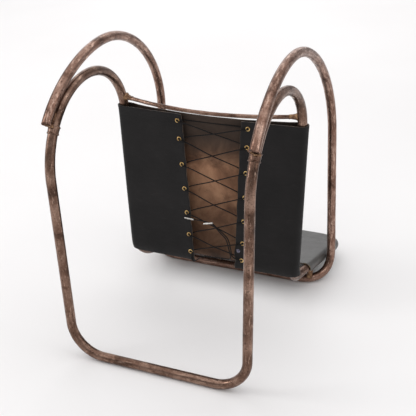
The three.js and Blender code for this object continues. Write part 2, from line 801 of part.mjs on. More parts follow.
// One half of a criss-cross lace. It starts behind the first row's eyelet on one side.
function zigzag(sling, rows, firstSide, crossingLift) {
  const strand = new Strand(sling);
  let side = firstSide;
  rows.forEach((row, i) => {
    const other = side === 'left' ? 'right' : 'left';
    const towardsGap = side === 'left' ? 1 : -1;
    const next = rows[i + 1];
    threadEyelet(strand, row[side], row.station, towardsGap, next ? next.station : row.station);
    if (!next) return;
    const behind = -LEATHER - LACE_R - 1.2;
    const edge = side === 'left' ? sling.leftEdge(row.station) : sling.rightEdge(row.station);
    const farEdge = side === 'left' ? sling.rightEdge(next.station) : sling.leftEdge(next.station);
    const spread = next[other] - row[side];
    const stationAt = (s) => lerp(row.station, next.station, (s - row[side]) / spread);
    const overEdge = edge + towardsGap * 2.5;
    const middle = (edge + farEdge) / 2;
    const underEdge = farEdge - towardsGap * 2;
    strand.over(overEdge, stationAt(overEdge), 0.6);
    strand.over(middle, stationAt(middle), crossingLift);
    strand.over(underEdge, stationAt(underEdge), behind);
    side = other;
  });
  return strand;
}

function cord(points, stepsPerSpan) {
  const curve = new THREE.CatmullRomCurve3(points, false, 'centripetal');
  const count = (points.length - 1) * stepsPerSpan;
  return new SteppedPath([[curve, count]]);
}

function addSeatLace() {
  const rows = seatEyelets();
  const first = zigzag(seatSling, rows, 'left', 0.4);
  const second = zigzag(seatSling, rows, 'right', -2.2);
  const points = [...first.reversed().points, ...second.points];
  add('seat_lace', rodAlong(cord(points, 1), LACE_R, 6), laceBlack);
}

function tailPoints(shift) {
  const strand = new Strand(backSling);
  strand.over(-41 + shift, 97, 3.2 + shift);
  strand.over(-38 + shift, 113, 4.4 + shift);
  strand.over(-33.5 + shift, 129.5, 5 + shift);
  strand.over(-25 + shift, 138, 4.6 + shift);
  strand.over(-15 + shift, 145.5 + shift, 4.2 + shift);
  strand.over(-6, 152 + shift, 3.8 + shift);
  return strand.points;
}

function addAglet(name, from, to) {
  const inwards = from.clone().sub(to).normalize();
  const mouth = from.clone().addScaledVector(inwards, -4 * GAP);
  const tip = mouth.clone().addScaledVector(inwards, -AGLET_LENGTH);
  add(name, straightRod(mouth, tip, AGLET_R, 10), tipSteel);
}

// The back lace: both ends come up from the bottom left and lie across the gap.
function addBackLace() {
  const rows = backEyelets();
  const first = zigzag(backSling, rows, 'left', 0.5);
  const second = zigzag(backSling, rows, 'right', -2.1);
  const longTail = new Strand(backSling);
  longTail.over(14, 153.5, 2.6);
  longTail.over(30, 153.5, 2.4);
  const longTip = overFlap(backSling, 50, 154.5, 2.4).point;
  const shortTip = overFlap(backSling, 9, 150.8, 6.4).point;
  const firstEnd = [...tailPoints(0), ...longTail.points];
  const round = new Strand(backSling);
  round.over(36, 78, 2.4);
  round.over(33.5, 69.5, 0.5);
  round.over(29, 68.5, -4.2);
  round.over(20, 79, -5);
  round.over(-12, 84, -4.6);
  round.over(-33, 88, -1.6);
  const secondEnd = [...round.points, ...tailPoints(2.4)];
  const points = [
    ...firstEnd.reverse(),
    ...first.reversed().points,
    ...second.points,
    ...secondEnd,
  ];
  add('back_lace', rodAlong(cord(points, 1), LACE_R, 6), laceBlack);
  addAglet('lace_tip_long', points[0], longTip);
  addAglet('lace_tip_short', points.at(-1), shortTip);
}

// A domed stud near the lower corner of the left flap.
function addStud() {
  const { point, normal } = overFlap(backSling, -50, 108, GAP);
  const profile = [
    new THREE.Vector2(0, 0),
    new THREE.Vector2(STUD_R, 0),
    new THREE.Vector2(STUD_R * 0.9, 1.2),
    new THREE.Vector2(STUD_R * 0.55, 2.1),
    new THREE.Vector2(0, 2.4),
  ];
  const dome = new THREE.LatheGeometry(profile, 14);
  dome.applyQuaternion(new THREE.Quaternion().setFromUnitVectors(new THREE.Vector3(0, 1, 0), normal));
  dome.translate(point.x, point.y, point.z);
  add('flap_stud', dome, blackEnamel);
}

// ---------------------------------------------------------------- build

addTubes();
addCouplings();
addBrazeBeads();
addCrossRod();
addStruts();
addSling('back', backSling, backEyelets());
addSling('seat', seatSling, seatEyelets());
addSeatHem();
addSeatLace();
addBackLace();
addStud();

export default rack;
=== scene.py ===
"""A magazine rack of bent copper tube with a laced leather back and a leather seat."""
import math

import bpy
from mathutils import Matrix, Vector, noise


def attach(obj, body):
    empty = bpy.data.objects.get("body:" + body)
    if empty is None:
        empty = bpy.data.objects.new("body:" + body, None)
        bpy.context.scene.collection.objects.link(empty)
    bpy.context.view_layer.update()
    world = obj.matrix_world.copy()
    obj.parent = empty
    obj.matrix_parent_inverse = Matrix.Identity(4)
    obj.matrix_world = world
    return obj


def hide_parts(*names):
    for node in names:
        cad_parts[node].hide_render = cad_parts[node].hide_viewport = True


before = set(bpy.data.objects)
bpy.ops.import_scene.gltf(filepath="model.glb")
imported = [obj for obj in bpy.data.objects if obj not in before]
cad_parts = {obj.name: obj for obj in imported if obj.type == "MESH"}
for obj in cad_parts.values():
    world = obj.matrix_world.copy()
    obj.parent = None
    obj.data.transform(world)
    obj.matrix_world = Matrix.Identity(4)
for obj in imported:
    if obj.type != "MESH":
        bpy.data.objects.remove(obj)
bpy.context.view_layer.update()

MM = 0.001

# ---------------------------------------------------------------- dimensions, in millimetres
# "Depth" is measured forwards (towards -Y) from the axis of the rear floor bar.

TUBE_R = 7.5
TUBE_BORE_R = 6.4
REAR_Y = 224

LEG_FOOT_X = 145
LEG_CORNER_R = 52
LEG_TOP = (6.5, 300)
ARCH_X = 151.9
ARCH_PLANE_Z = 337
ARCH_TOP = (128, 420)
SHOULDER_HANDLE = 67
COLLAR_AT = 0.384         # how far up the rear shoulder the leg meets the inner frame
COLLAR_LENGTH = 13
ARCH_BEAD_RADII = (4.6, 5.6, 9.5)
# Filler at a cut end: turn round the tube in radians, size.
END_LUMPS = ((-0.75, 2.4), (-0.15, 2.8), (0.55, 2.5), (1.1, 1.9))

UPRIGHT_TOP = (234, 325)
UPRIGHT_FOOT = (223.5, 92)
UPRIGHT_FOOT_X = 143.4
RAIL_REAR = (138.8, 280, 46)
RAIL_FRONT = (157.6, 408, 32)
FRONT_BAR = (441, 25)
FRONT_CORNER = 34
FRONT_HANDLE = 20

LOOP_END = (17.3, 380)
LOOP_TOP = (185, 457)
LOOP_SHOULDER = (379, 268)
LOOP_ANKLE = (363, 54)
LOOP_FOOT_X = 170.8
LOOP_NARROWING = 0.041
LOOP_BAR_DEPTH = 322
LOOP_BAR_HALF = 117

ROD_R = 3.2
ROD_Z = 350
ROD_BOW = 23
ROD_SAG = 2.5
STRUT_R = 5
STRUT_X = 141

LEATHER = 2.3
SLEEVE_R = TUBE_R + 0.35
SKIN_R = SLEEVE_R + LEATHER / 2
BACK_BOTTOM = 72
FLARE_TOP_Z = 86          # below this the back hangs looser round the bends
BACK_TOP = 337
BACK_SHEET_BOW = 18
BACK_FLAP_BOW = 6
BACK_BOW_ENDS_Z = 130
BACK_CORNER_LIFT = 2
SEAT_REAR_DEPTH = 298
SEAT_REAR_DEPTH_BELOW = 336  # the seat is cut back underneath, clear of its posts
SEAT_SAG = 3
SEAT_FLAP_X = 30

EYELET_ROWS = [325, 294, 250, 207, 163.5, 123, 91]
LEFT_FLAP = {"top": -57.5, "bottom": -42, "eyelet_top": -69, "eyelet_bottom": -56}
RIGHT_FLAP = {"top": 41.5, "bottom": 29.5, "eyelet_top": 50.5, "eyelet_bottom": 37}
SEAT_EYELET_ROWS = [396, 376, 356, 342]
SEAT_EYELET_X = 40
LACE_R = 0.95
LACE_LIFT = 2.3
AGLET_R = 1.45
AGLET_LENGTH = 16


# ---------------------------------------------------------------- small geometry helpers

def at(x, depth, z):
    return Vector((x, REAR_Y - depth, z))


def lerp(a, b, t):
    return a + (b - a) * t


def clamp(t, low=0.0, high=1.0):
    return max(low, min(high, t))


def smooth(t):
    t = clamp(t)
    return t * t * (3 - 2 * t)


class Bend:
    """A cubic curve that leaves a along direction_a and reaches b along direction_b."""

    def __init__(self, a, direction_a, handle_a, b, direction_b, handle_b):
        self.points = [
            a,
            a + direction_a.normalized() * handle_a,
            b - direction_b.normalized() * handle_b,
            b,
        ]

    def at(self, t):
        a, b, c, d = self.points
        s = 1 - t
        return a * s ** 3 + b * (3 * s * s * t) + c * (3 * s * t * t) + d * t ** 3

    def samples(self, count, start=0.0, end=1.0):
        return [self.at(lerp(start, end, i / count)) for i in range(count + 1)]


def straight(a, b, step=6.0):
    count = max(2, round((b - a).length / step))
    return [a.lerp(b, i / count) for i in range(count + 1)]


def joined(*runs):
    """One list of points from several runs that follow on from each other."""
    points = list(runs[0])
    for run in runs[1:]:
        points.extend(run[1:])
    return points


def catmull(points, per_span):
    """A smooth line through points, with centripetal spacing."""
    padded = [points[0] * 2 - points[1], *points, points[-1] * 2 - points[-2]]
    line = []
    for i in range(1, len(padded) - 2):
        p0, p1, p2, p3 = padded[i - 1:i + 3]
        t1 = math.sqrt(max((p1 - p0).length, 1e-6))
        t2 = t1 + math.sqrt(max((p2 - p1).length, 1e-6))
        t3 = t2 + math.sqrt(max((p3 - p2).length, 1e-6))
        for k in range(per_span):
            t = lerp(t1, t2, k / per_span)
            a1 = p0 * ((t1 - t) / t1) + p1 * (t / t1)
            a2 = p1 * ((t2 - t) / (t2 - t1)) + p2 * ((t - t1) / (t2 - t1))
            a3 = p2 * ((t3 - t) / (t3 - t2)) + p3 * ((t - t2) / (t3 - t2))
            b1 = a1 * ((t2 - t) / t2) + a2 * (t / t2)
            b2 = a2 * ((t3 - t) / (t3 - t1)) + a3 * ((t - t1) / (t3 - t1))
            line.append(b1 * ((t2 - t) / (t2 - t1)) + b2 * ((t - t1) / (t2 - t1)))
    line.append(points[-1])
    return line


def frames_along(points):
    """A tangent and two side directions at each point, turning as little as possible."""
    last = len(points) - 1
    tangents = [
        (points[min(i + 1, last)] - points[max(i - 1, 0)]).normalized()
        for i in range(last + 1)
    ]
    side = tangents[0].orthogonal().normalized()
    frames = []
    for tangent in tangents:
        side = (side - tangent * side.dot(tangent)).normalized()
        frames.append((tangent, side, tangent.cross(side)))
    return frames


# ---------------------------------------------------------------- mesh builders

# Rings at a tube's end, as (distance in from the end, share of the radius).
BORE = TUBE_BORE_R / TUBE_R
CAP_STEPS = ((0, 0.05), (0, 0.8), (0.15, 0.94), (0.5, 0.99))
MOUTH_STEPS = (
    (14, BORE * 0.02),
    (14, BORE),
    (6, BORE),
    (0.5, BORE),
    (0.1, BORE * 1.03),
    (0, 0.96),
    (0.3, 1.0),
)

def new_object(name, vertices, faces, materials):
    mesh = bpy.data.meshes.new(name)
    mesh.from_pydata([v * MM for v in vertices], [], faces)
    mesh.validate()
    mesh.update()
    for polygon in mesh.polygons:
        polygon.use_smooth = True
    for material in materials:
        mesh.materials.append(material)
    piece = bpy.data.objects.new(name, mesh)
    bpy.context.scene.collection.objects.link(piece)
    return piece


def store_vectors(piece, name, values):
    layer = piece.data.attributes.new(name, "FLOAT_VECTOR", "POINT")
    layer.data.foreach_set("vector", [x for value in values for x in value])


def wobble(point, size, amount, seed=0.0):
    return noise.noise(point / size + Vector((seed, seed * 1.7, -seed))) * amount


def ring_faces(rings, sides):
    faces = []
    for k in range(rings - 1):
        for i in range(sides):
            j = (i + 1) % sides
            a, b = k * sides + i, k * sides + j
            faces.append((a, b, b + sides, a + sides))
    return faces


def swept(name, points, radius_at, material, sides=32, open_ends=False):
    """A round bar or tube along points. Its surface place along and round it is kept in tube_co."""
    frames = frames_along(points)
    rows = [(p, f, 1.0) for p, f in zip(points, frames)]
    if open_ends:
        rows = [*mouth(points[0], frames[0], 1), *rows, *mouth(points[-1], frames[-1], -1)]
    else:
        rows = [*cap(points[0], frames[0], 1), *rows, *cap(points[-1], frames[-1], -1)]
    vertices = []
    places = []
    travelled = 0.0
    previous = rows[0][0]
    for point, (_, side, other), scale in rows:
        travelled += (point - previous).length
        previous = point
        for i in range(sides):
            angle = 2 * math.pi * i / sides
            spoke = side * math.cos(angle) + other * math.sin(angle)
            radius = radius_at(point, spoke) * scale
            vertices.append(point + spoke * radius)
            places.append((
                TUBE_R * math.cos(angle) * MM,
                TUBE_R * math.sin(angle) * MM,
                travelled * MM,
            ))
    faces = ring_faces(len(rows), sides)
    faces.append(tuple(reversed(range(sides))))
    base = (len(rows) - 1) * sides
    faces.append(tuple(base + i for i in range(sides)))
    piece = new_object(name, vertices, faces, [material])
    store_vectors(piece, "tube_co", places)
    return piece


def cap(point, axes, sign):
    """Rings that round off a solid end, listed in the order in which the sweep meets them."""
    tangent = axes[0] * sign
    rows = [(point + tangent * inset, axes, scale) for inset, scale in CAP_STEPS]
    return rows if sign > 0 else rows[::-1]


def mouth(point, axes, sign):
    """Rings for a sawn tube end: down the bore, over the rim and out."""
    tangent = axes[0] * sign
    rows = [(point + tangent * inset, axes, scale) for inset, scale in MOUTH_STEPS]
    return rows if sign > 0 else rows[::-1]


def lathe(name, profile, origin, axis, material, sides=32):
    """A turned ring or dome. profile is a list of (radius, height) from start to end."""
    turn = Vector((0, 0, 1)).rotation_difference(axis)
    closed = profile[0] == profile[-1]
    rows = profile[:-1] if closed else profile
    vertices = []
    for radius, height in rows:
        for i in range(sides):
            angle = 2 * math.pi * i / sides
            local = Vector((radius * math.cos(angle), radius * math.sin(angle), height))
            vertices.append(origin + turn @ local)
    faces = ring_faces(len(rows), sides)
    if closed:
        base = (len(rows) - 1) * sides
        for i in range(sides):
            j = (i + 1) % sides
            faces.append((base + i, base + j, j, i))
    return new_object(name, vertices, faces, [material])


# ---------------------------------------------------------------- the tubes' routes

SIDES = (("left", -1), ("right", 1))


def leg_point(side, z):
    x = lerp(LEG_FOOT_X, ARCH_X, min(z / ARCH_PLANE_Z, 1))
    return at(side * x, LEG_TOP[0] * z / LEG_TOP[1], z)


def rear_shoulder(side):
    foot = at(side * ARCH_X, *LEG_TOP)
    crown = at(side * ARCH_X, *ARCH_TOP)
    up = Vector((0, -LEG_TOP[0], LEG_TOP[1]))
    return Bend(foot, up, SHOULDER_HANDLE, crown, Vector((0, -1, 0)), SHOULDER_HANDLE)


def upright_ends(side):
    top = at(side * ARCH_X, *UPRIGHT_TOP)
    foot = at(side * UPRIGHT_FOOT_X, *UPRIGHT_FOOT)
    return top, foot


def crown_bend(side):
    top, foot = upright_ends(side)
    crown = at(side * ARCH_X, *ARCH_TOP)
    return Bend(crown, Vector((0, -1, 0)), 59, top, foot - top, 53)


def rail_ends(side):
    rear = at(side * RAIL_REAR[0], RAIL_REAR[1], RAIL_REAR[2])
    front = at(side * RAIL_FRONT[0], RAIL_FRONT[1], RAIL_FRONT[2])
    return rear, front


def lower_bend(side):
    top, foot = upright_ends(side)
    rear, front = rail_ends(side)
    return Bend(foot, foot - top, 25, rear, front - rear, 27)


def front_corner(side):
    rear, front = rail_ends(side)
    bar = at(side * (RAIL_FRONT[0] - FRONT_CORNER), *FRONT_BAR)
    across = Vector((-side, 0, 0))
    return Bend(front, front - rear, FRONT_HANDLE, bar, across, FRONT_HANDLE)


def inner_side(side):
    """From the coupling over the arch, down the upright and along the rail to the front bar."""
    top, foot = upright_ends(side)
    rear, front = rail_ends(side)
    return joined(
        rear_shoulder(side).samples(40, COLLAR_AT, 1),
        crown_bend(side).samples(60),
        straight(top, foot),
        lower_bend(side).samples(40),
        straight(rear, front),
        front_corner(side).samples(24),
    )


def inner_frame_points():
    left = inner_side(-1)
    right = inner_side(1)[::-1]
    bridge = straight(left[-1], right[0])
    return joined(left, bridge, right)


def rear_loop_points():
    runs = []
    across = Vector((1, 0, 0))
    handle = 0.5523 * LEG_CORNER_R
    bar = {side: at(side * (LEG_FOOT_X - LEG_CORNER_R), 0, TUBE_R) for side in (-1, 1)}
    corner = {side: leg_point(side, TUBE_R + LEG_CORNER_R) for side in (-1, 1)}
    top = {side: at(side * ARCH_X, *LEG_TOP) for side in (-1, 1)}
    runs.append(rear_shoulder(-1).samples(20, COLLAR_AT, 0))
    runs.append(straight(top[-1], corner[-1]))
    runs.append(Bend(corner[-1], corner[-1] - top[-1], handle, bar[-1], across, handle).samples(30))
    runs.append(straight(bar[-1], bar[1]))
    runs.append(Bend(bar[1], across, handle, corner[1], top[1] - corner[1], handle).samples(30))
    runs.append(straight(corner[1], top[1]))
    runs.append(rear_shoulder(1).samples(20, 0, COLLAR_AT))
    return joined(*runs)


def loop_point(side, place):
    return at(side * (LOOP_FOOT_X - LOOP_NARROWING * place[1]), *place)


def outer_side(side):
    """From the outer loop's cut end over the top and down to the ankle."""
    end = loop_point(side, LOOP_END)
    crown = loop_point(side, LOOP_TOP)
    shoulder = loop_point(side, LOOP_SHOULDER)
    ankle = loop_point(side, LOOP_ANKLE)
    forwards = Vector((0, -1, 0))
    return joined(
        Bend(end, Vector((0, -0.62, 0.78)), 55, crown, forwards, 70).samples(50),
        Bend(crown, forwards, 101, shoulder, ankle - shoulder, 98).samples(70),
        straight(shoulder, ankle),
    )


def loop_corner(side):
    ankle = loop_point(side, LOOP_ANKLE)
    shoulder = loop_point(side, LOOP_SHOULDER)
    bar = at(side * LOOP_BAR_HALF, LOOP_BAR_DEPTH, TUBE_R)
    return Bend(ankle, ankle - shoulder, 40, bar, Vector((-side, 0, 0)), 47)


def outer_loop_points():
    left = joined(outer_side(-1), loop_corner(-1).samples(40))
    right = joined(outer_side(1), loop_corner(1).samples(40))[::-1]
    return joined(left, straight(left[-1], right[0]), right)


def height_on(curve, z):
    """The distance out and the depth where a descending curve passes height z."""
    high, low = 0.0, 1.0
    for _ in range(40):
        middle = (high + low) / 2
        if curve.at(middle).z > z:
            high = middle
        else:
            low = middle
    point = curve.at(high)
    return abs(point.x), REAR_Y - point.y


def upright_at(z):
    if z > UPRIGHT_TOP[1]:
        return height_on(crown_bend(1), z)
    if z < UPRIGHT_FOOT[1]:
        return height_on(lower_bend(1), z)
    t = (z - UPRIGHT_FOOT[1]) / (UPRIGHT_TOP[1] - UPRIGHT_FOOT[1])
    return lerp(UPRIGHT_FOOT_X, ARCH_X, t), lerp(UPRIGHT_FOOT[0], UPRIGHT_TOP[0], t)


def rail_at(depth):
    t = (depth - RAIL_REAR[1]) / (RAIL_FRONT[1] - RAIL_REAR[1])
    return lerp(RAIL_REAR[0], RAIL_FRONT[0], t), lerp(RAIL_REAR[2], RAIL_FRONT[2], t)


# ---------------------------------------------------------------- materials

def shader(name):
    material = bpy.data.materials.new(name)
    material.use_nodes = True
    tree = material.node_tree
    return material, tree, tree.nodes["Principled BSDF"]


def add_node(tree, kind, **values):
    node = tree.nodes.new(kind)
    for key, value in values.items():
        if key in node.inputs:
            node.inputs[key].default_value = value
        else:
            setattr(node, key, value)
    return node


def noise_on(tree, vector, scale, detail=4.0, roughness=0.55, distortion=0.0):
    settings = {"Scale": scale, "Detail": detail, "Roughness": roughness, "Distortion": distortion}
    node = add_node(tree, "ShaderNodeTexNoise", **settings)
    tree.links.new(vector, node.inputs["Vector"])
    return node.outputs["Fac"]


def ramp(tree, value, stops):
    node = tree.nodes.new("ShaderNodeValToRGB")
    elements = node.color_ramp.elements
    while len(elements) < len(stops):
        elements.new(0.5)
    for element, (place, colour) in zip(elements, stops):
        element.position = place
        element.color = (*colour, 1) if len(colour) == 3 else colour
    tree.links.new(value, node.inputs["Fac"])
    return node.outputs["Color"]


def grey_ramp(tree, value, stops):
    return ramp(tree, value, [(place, (level, level, level)) for place, level in stops])


def mix(tree, factor, a, b, blend="MIX"):
    node = tree.nodes.new("ShaderNodeMix")
    node.data_type = "RGBA"
    node.blend_type = blend
    for socket, value in ((node.inputs["Factor"], factor), (node.inputs[6], a), (node.inputs[7], b)):
        if isinstance(value, bpy.types.NodeSocket):
            tree.links.new(value, socket)
        else:
            socket.default_value = value if isinstance(value, float) else (*value, 1)
    return node.outputs[2]


def stretched(tree, vector, scale):
    node = tree.nodes.new("ShaderNodeMapping")
    node.inputs["Scale"].default_value = scale
    tree.links.new(vector, node.inputs["Vector"])
    return node.outputs["Vector"]


def bump(tree, height, strength, distance, normal=None):
    node = add_node(tree, "ShaderNodeBump", Strength=strength, Distance=distance)
    tree.links.new(height, node.inputs["Height"])
    if normal is not None:
        tree.links.new(normal, node.inputs["Normal"])
    return node.outputs["Normal"]


def object_vector(tree):
    return tree.nodes.new("ShaderNodeTexCoord").outputs["Object"]


def tube_vector(tree):
    node = tree.nodes.new("ShaderNodeAttribute")
    node.attribute_name = "tube_co"
    return node.outputs["Vector"]


def patinated_copper(name, dark, mid, worn, wear):
    """Oxidised copper: brown blotches, streaks along the tube, and rubbed spots."""
    material, tree, surface = shader(name)
    place = tube_vector(tree)
    world = object_vector(tree)
    blotches = noise_on(tree, world, 26.0, 6.0, 0.62, 0.4)
    pale = [(m * 2 + w) / 3 for m, w in zip(mid, worn)]
    colour = ramp(tree, blotches, [(0.28, dark), (0.46, mid), (0.74, pale)])
    streak_place = stretched(tree, place, (340.0, 340.0, 22.0))
    streaks = noise_on(tree, streak_place, 1.0, 5.0, 0.6, 0.6)
    streak_mask = grey_ramp(tree, streaks, [(0.50, 0.0), (0.62, 1.0)])
    faded = mix(tree, 0.55, dark, mid)
    colour = mix(tree, mix(tree, 0.6, (0.0, 0.0, 0.0), streak_mask), colour, faded)
    rub_place = stretched(tree, place, (300.0, 300.0, 75.0))
    rubs = noise_on(tree, rub_place, 1.0, 7.0, 0.7, 0.2)
    rub_mask = grey_ramp(tree, rubs, [(wear, 0.0), (wear + 0.16, 1.0)])
    colour = mix(tree, mix(tree, 0.45, (0.0, 0.0, 0.0), rub_mask), colour, worn)
    pits = noise_on(tree, world, 430.0, 4.0, 0.65)
    pit_mask = grey_ramp(tree, pits, [(0.56, 0.0), (0.66, 0.85)])
    colour = mix(tree, pit_mask, colour, dark)
    tree.links.new(colour, surface.inputs["Base Color"])
    surface.inputs["Metallic"].default_value = 0.9
    roughness = grey_ramp(tree, rubs, [(0.34, 0.46), (0.62, 0.20)])
    tree.links.new(roughness, surface.inputs["Roughness"])
    ripple = noise_on(tree, world, 90.0, 3.0, 0.5)
    first = bump(tree, ripple, 0.35, 0.0012)
    second = bump(tree, pits, 0.25, 0.0003, first)
    tree.links.new(bump(tree, streaks, 0.2, 0.0003, second), surface.inputs["Normal"])
    return material


def braze_metal(name):
    """Lumpy brass-coloured filler with flux stains."""
    material, tree, surface = shader(name)
    world = object_vector(tree)
    stains = noise_on(tree, world, 210.0, 6.0, 0.7, 0.5)
    colour = ramp(tree, stains, [
        (0.32, (0.05, 0.03, 0.02)),
        (0.50, (0.22, 0.12, 0.07)),
        (0.68, (0.46, 0.30, 0.16)),
    ])
    tree.links.new(colour, surface.inputs["Base Color"])
    surface.inputs["Metallic"].default_value = 0.85
    tree.links.new(grey_ramp(tree, stains, [(0.3, 0.6), (0.7, 0.33)]), surface.inputs["Roughness"])
    lumps = noise_on(tree, world, 330.0, 4.0, 0.6)
    tree.links.new(bump(tree, lumps, 0.7, 0.0012), surface.inputs["Normal"])
    return material


def black_leather(name, base, scuff_and_sheen_colour, roughness_range, specular=0.18):
    """Dyed saddle leather: fine pebbled grain, faint scuffs and hairline scratches. Lighter colours
    passed in paint a sheen.
    """
    material, tree, surface = shader(name)
    world = object_vector(tree)
    clouds = noise_on(tree, world, 14.0, 5.0, 0.6)
    dyed = ramp(tree, clouds, [(0.30, [c * 0.75 for c in base]), (0.70, [c * 1.35 for c in base])])
    scuffs = noise_on(tree, stretched(tree, world, (40.0, 40.0, 150.0)), 1.0, 6.0, 0.7, 1.2)
    scuff_mask = grey_ramp(tree, scuffs, [(0.60, 0.0), (0.78, 0.35)])
    # Scuffs and specks take the lighter colour passed in: real scuffs on the back, painted sheen on
    # the seat.
    colour = mix(tree, scuff_mask, dyed, scuff_and_sheen_colour)
    specks = noise_on(tree, world, 900.0, 2.0, 0.5)
    speck_mask = grey_ramp(tree, specks, [(0.70, 0.0), (0.76, 0.35)])
    colour = mix(tree, speck_mask, colour, scuff_and_sheen_colour)
    tree.links.new(colour, surface.inputs["Base Color"])
    low, high = roughness_range
    tree.links.new(grey_ramp(tree, scuffs, [(0.35, high), (0.75, low)]), surface.inputs["Roughness"])
    surface.inputs["Specular IOR Level"].default_value = specular
    grain = add_node(tree, "ShaderNodeTexVoronoi", Scale=720.0)
    grain.feature = "DISTANCE_TO_EDGE"
    tree.links.new(world, grain.inputs["Vector"])
    creases = grey_ramp(tree, grain.outputs["Distance"], [(0.0, 0.0), (0.16, 1.0)])
    first = bump(tree, creases, 0.22, 0.0003)
    second = bump(tree, clouds, 0.3, 0.0025, first)
    tree.links.new(bump(tree, specks, 0.15, 0.0003, second), surface.inputs["Normal"])
    return material


def flesh_side(name):
    """The undyed rough side of the leather, brown, with painted shade darkening it towards the top and
    bottom and a painted pool of light across the middle.
    """
    material, tree, surface = shader(name)
    world = object_vector(tree)
    split = tree.nodes.new("ShaderNodeSeparateXYZ")
    tree.links.new(world, split.inputs["Vector"])
    patches = noise_on(tree, world, 17.0, 6.0, 0.6, 0.6)
    tan = ramp(tree, patches, [
        (0.30, (0.110, 0.054, 0.030)),
        (0.46, (0.245, 0.122, 0.068)),
        (0.64, (0.430, 0.235, 0.135)),
    ])
    height = add_node(tree, "ShaderNodeMapRange")
    height.inputs["From Min"].default_value = BACK_BOTTOM * MM
    height.inputs["From Max"].default_value = BACK_TOP * MM
    tree.links.new(split.outputs["Z"], height.inputs["Value"])
    # Painted light and shade by height up the back: dark near the bottom and top where the sleeve is
    # shaded, lightest a little above the middle.
    painted_light_band = grey_ramp(tree, height.outputs["Result"], [
        (0.0, 0.24),
        (0.24, 0.42),
        (0.42, 0.72),
        (0.64, 1.0),
        (0.78, 0.50),
        (0.94, 0.22),
    ])
    colour = mix(tree, 1.0, tan, painted_light_band, "MULTIPLY")
    # Painted shade: a further darkening towards the top, where the sleeve is shaded.
    painted_top_shade = grey_ramp(tree, height.outputs["Result"], [(0.66, 0.0), (0.86, 0.7)])
    colour = mix(tree, painted_top_shade, colour, (0.040, 0.032, 0.027))
    stains = noise_on(tree, world, 60.0, 4.0, 0.7, 1.0)
    stain_mask = grey_ramp(tree, stains, [(0.55, 0.0), (0.75, 0.55)])
    colour = mix(tree, stain_mask, colour, (0.05, 0.030, 0.018))
    tree.links.new(colour, surface.inputs["Base Color"])
    surface.inputs["Roughness"].default_value = 0.82
    surface.inputs["Specular IOR Level"].default_value = 0.25
    fibres = noise_on(tree, stretched(tree, world, (900.0, 900.0, 400.0)), 1.0, 5.0, 0.7)
    first = bump(tree, fibres, 0.5, 0.0005)
    tree.links.new(bump(tree, patches, 0.25, 0.002, first), surface.inputs["Normal"])
    return material


def cut_edge(name, colour_low, colour_high):
    """The leather's cut edge, dyed dark and rubbed through to brown in places."""
    material, tree, surface = shader(name)
    world = object_vector(tree)
    rubs = noise_on(tree, world, 120.0, 5.0, 0.65)
    colour = ramp(tree, rubs, [(0.42, colour_low), (0.66, colour_high)])
    tree.links.new(colour, surface.inputs["Base Color"])
    surface.inputs["Roughness"].default_value = 0.6
    fibres = noise_on(tree, world, 1500.0, 3.0, 0.6)
    tree.links.new(bump(tree, fibres, 0.4, 0.0004), surface.inputs["Normal"])
    return material


def bright_metal(name, colour, tarnish, roughness):
    material, tree, surface = shader(name)
    world = object_vector(tree)
    film = noise_on(tree, world, 420.0, 4.0, 0.6)
    tree.links.new(ramp(tree, film, [(0.38, tarnish), (0.60, colour)]), surface.inputs["Base Color"])
    surface.inputs["Metallic"].default_value = 1.0
    gloss = grey_ramp(tree, film, [(0.3, roughness + 0.15), (0.7, roughness)])
    tree.links.new(gloss, surface.inputs["Roughness"])
    tree.links.new(bump(tree, film, 0.08, 0.0003), surface.inputs["Normal"])
    return material


def waxed_cord(name):
    """Black round cord with a fine slanting twist."""
    material, tree, surface = shader(name)
    place = tube_vector(tree)
    wave = add_node(tree, "ShaderNodeTexWave", Scale=1.0, Distortion=0.6, Detail=1.0)
    wave.bands_direction = "DIAGONAL"
    tree.links.new(stretched(tree, place, (160.0, 160.0, 900.0)), wave.inputs["Vector"])
    dust = noise_on(tree, place, 700.0, 3.0, 0.6)
    colour = ramp(tree, dust, [(0.35, (0.0035, 0.003, 0.003)), (0.75, (0.014, 0.012, 0.011))])
    tree.links.new(colour, surface.inputs["Base Color"])
    surface.inputs["Roughness"].default_value = 0.6
    surface.inputs["Specular IOR Level"].default_value = 0.2
    tree.links.new(bump(tree, wave.outputs["Fac"], 0.6, 0.0004), surface.inputs["Normal"])
    return material


def gloss_enamel(name):
    material, tree, surface = shader(name)
    world = object_vector(tree)
    film = noise_on(tree, world, 300.0, 3.0, 0.6)
    colour = ramp(tree, film, [(0.4, (0.10, 0.095, 0.125)), (0.7, (0.19, 0.18, 0.23))])
    tree.links.new(colour, surface.inputs["Base Color"])
    tree.links.new(grey_ramp(tree, film, [(0.3, 0.14), (0.7, 0.24)]), surface.inputs["Roughness"])
    surface.inputs["Metallic"].default_value = 0.9
    tree.links.new(bump(tree, film, 0.1, 0.0003), surface.inputs["Normal"])
    return material


def floor_paper(name):
    material, tree, surface = shader(name)
    world = object_vector(tree)
    tone = noise_on(tree, world, 1.3, 3.0, 0.5)
    colour = ramp(tree, tone, [(0.3, (0.815, 0.800, 0.792)), (0.7, (0.850, 0.838, 0.830))])
    tree.links.new(colour, surface.inputs["Base Color"])
    surface.inputs["Roughness"].default_value = 0.7
    surface.inputs["Specular IOR Level"].default_value = 0.2
    return material


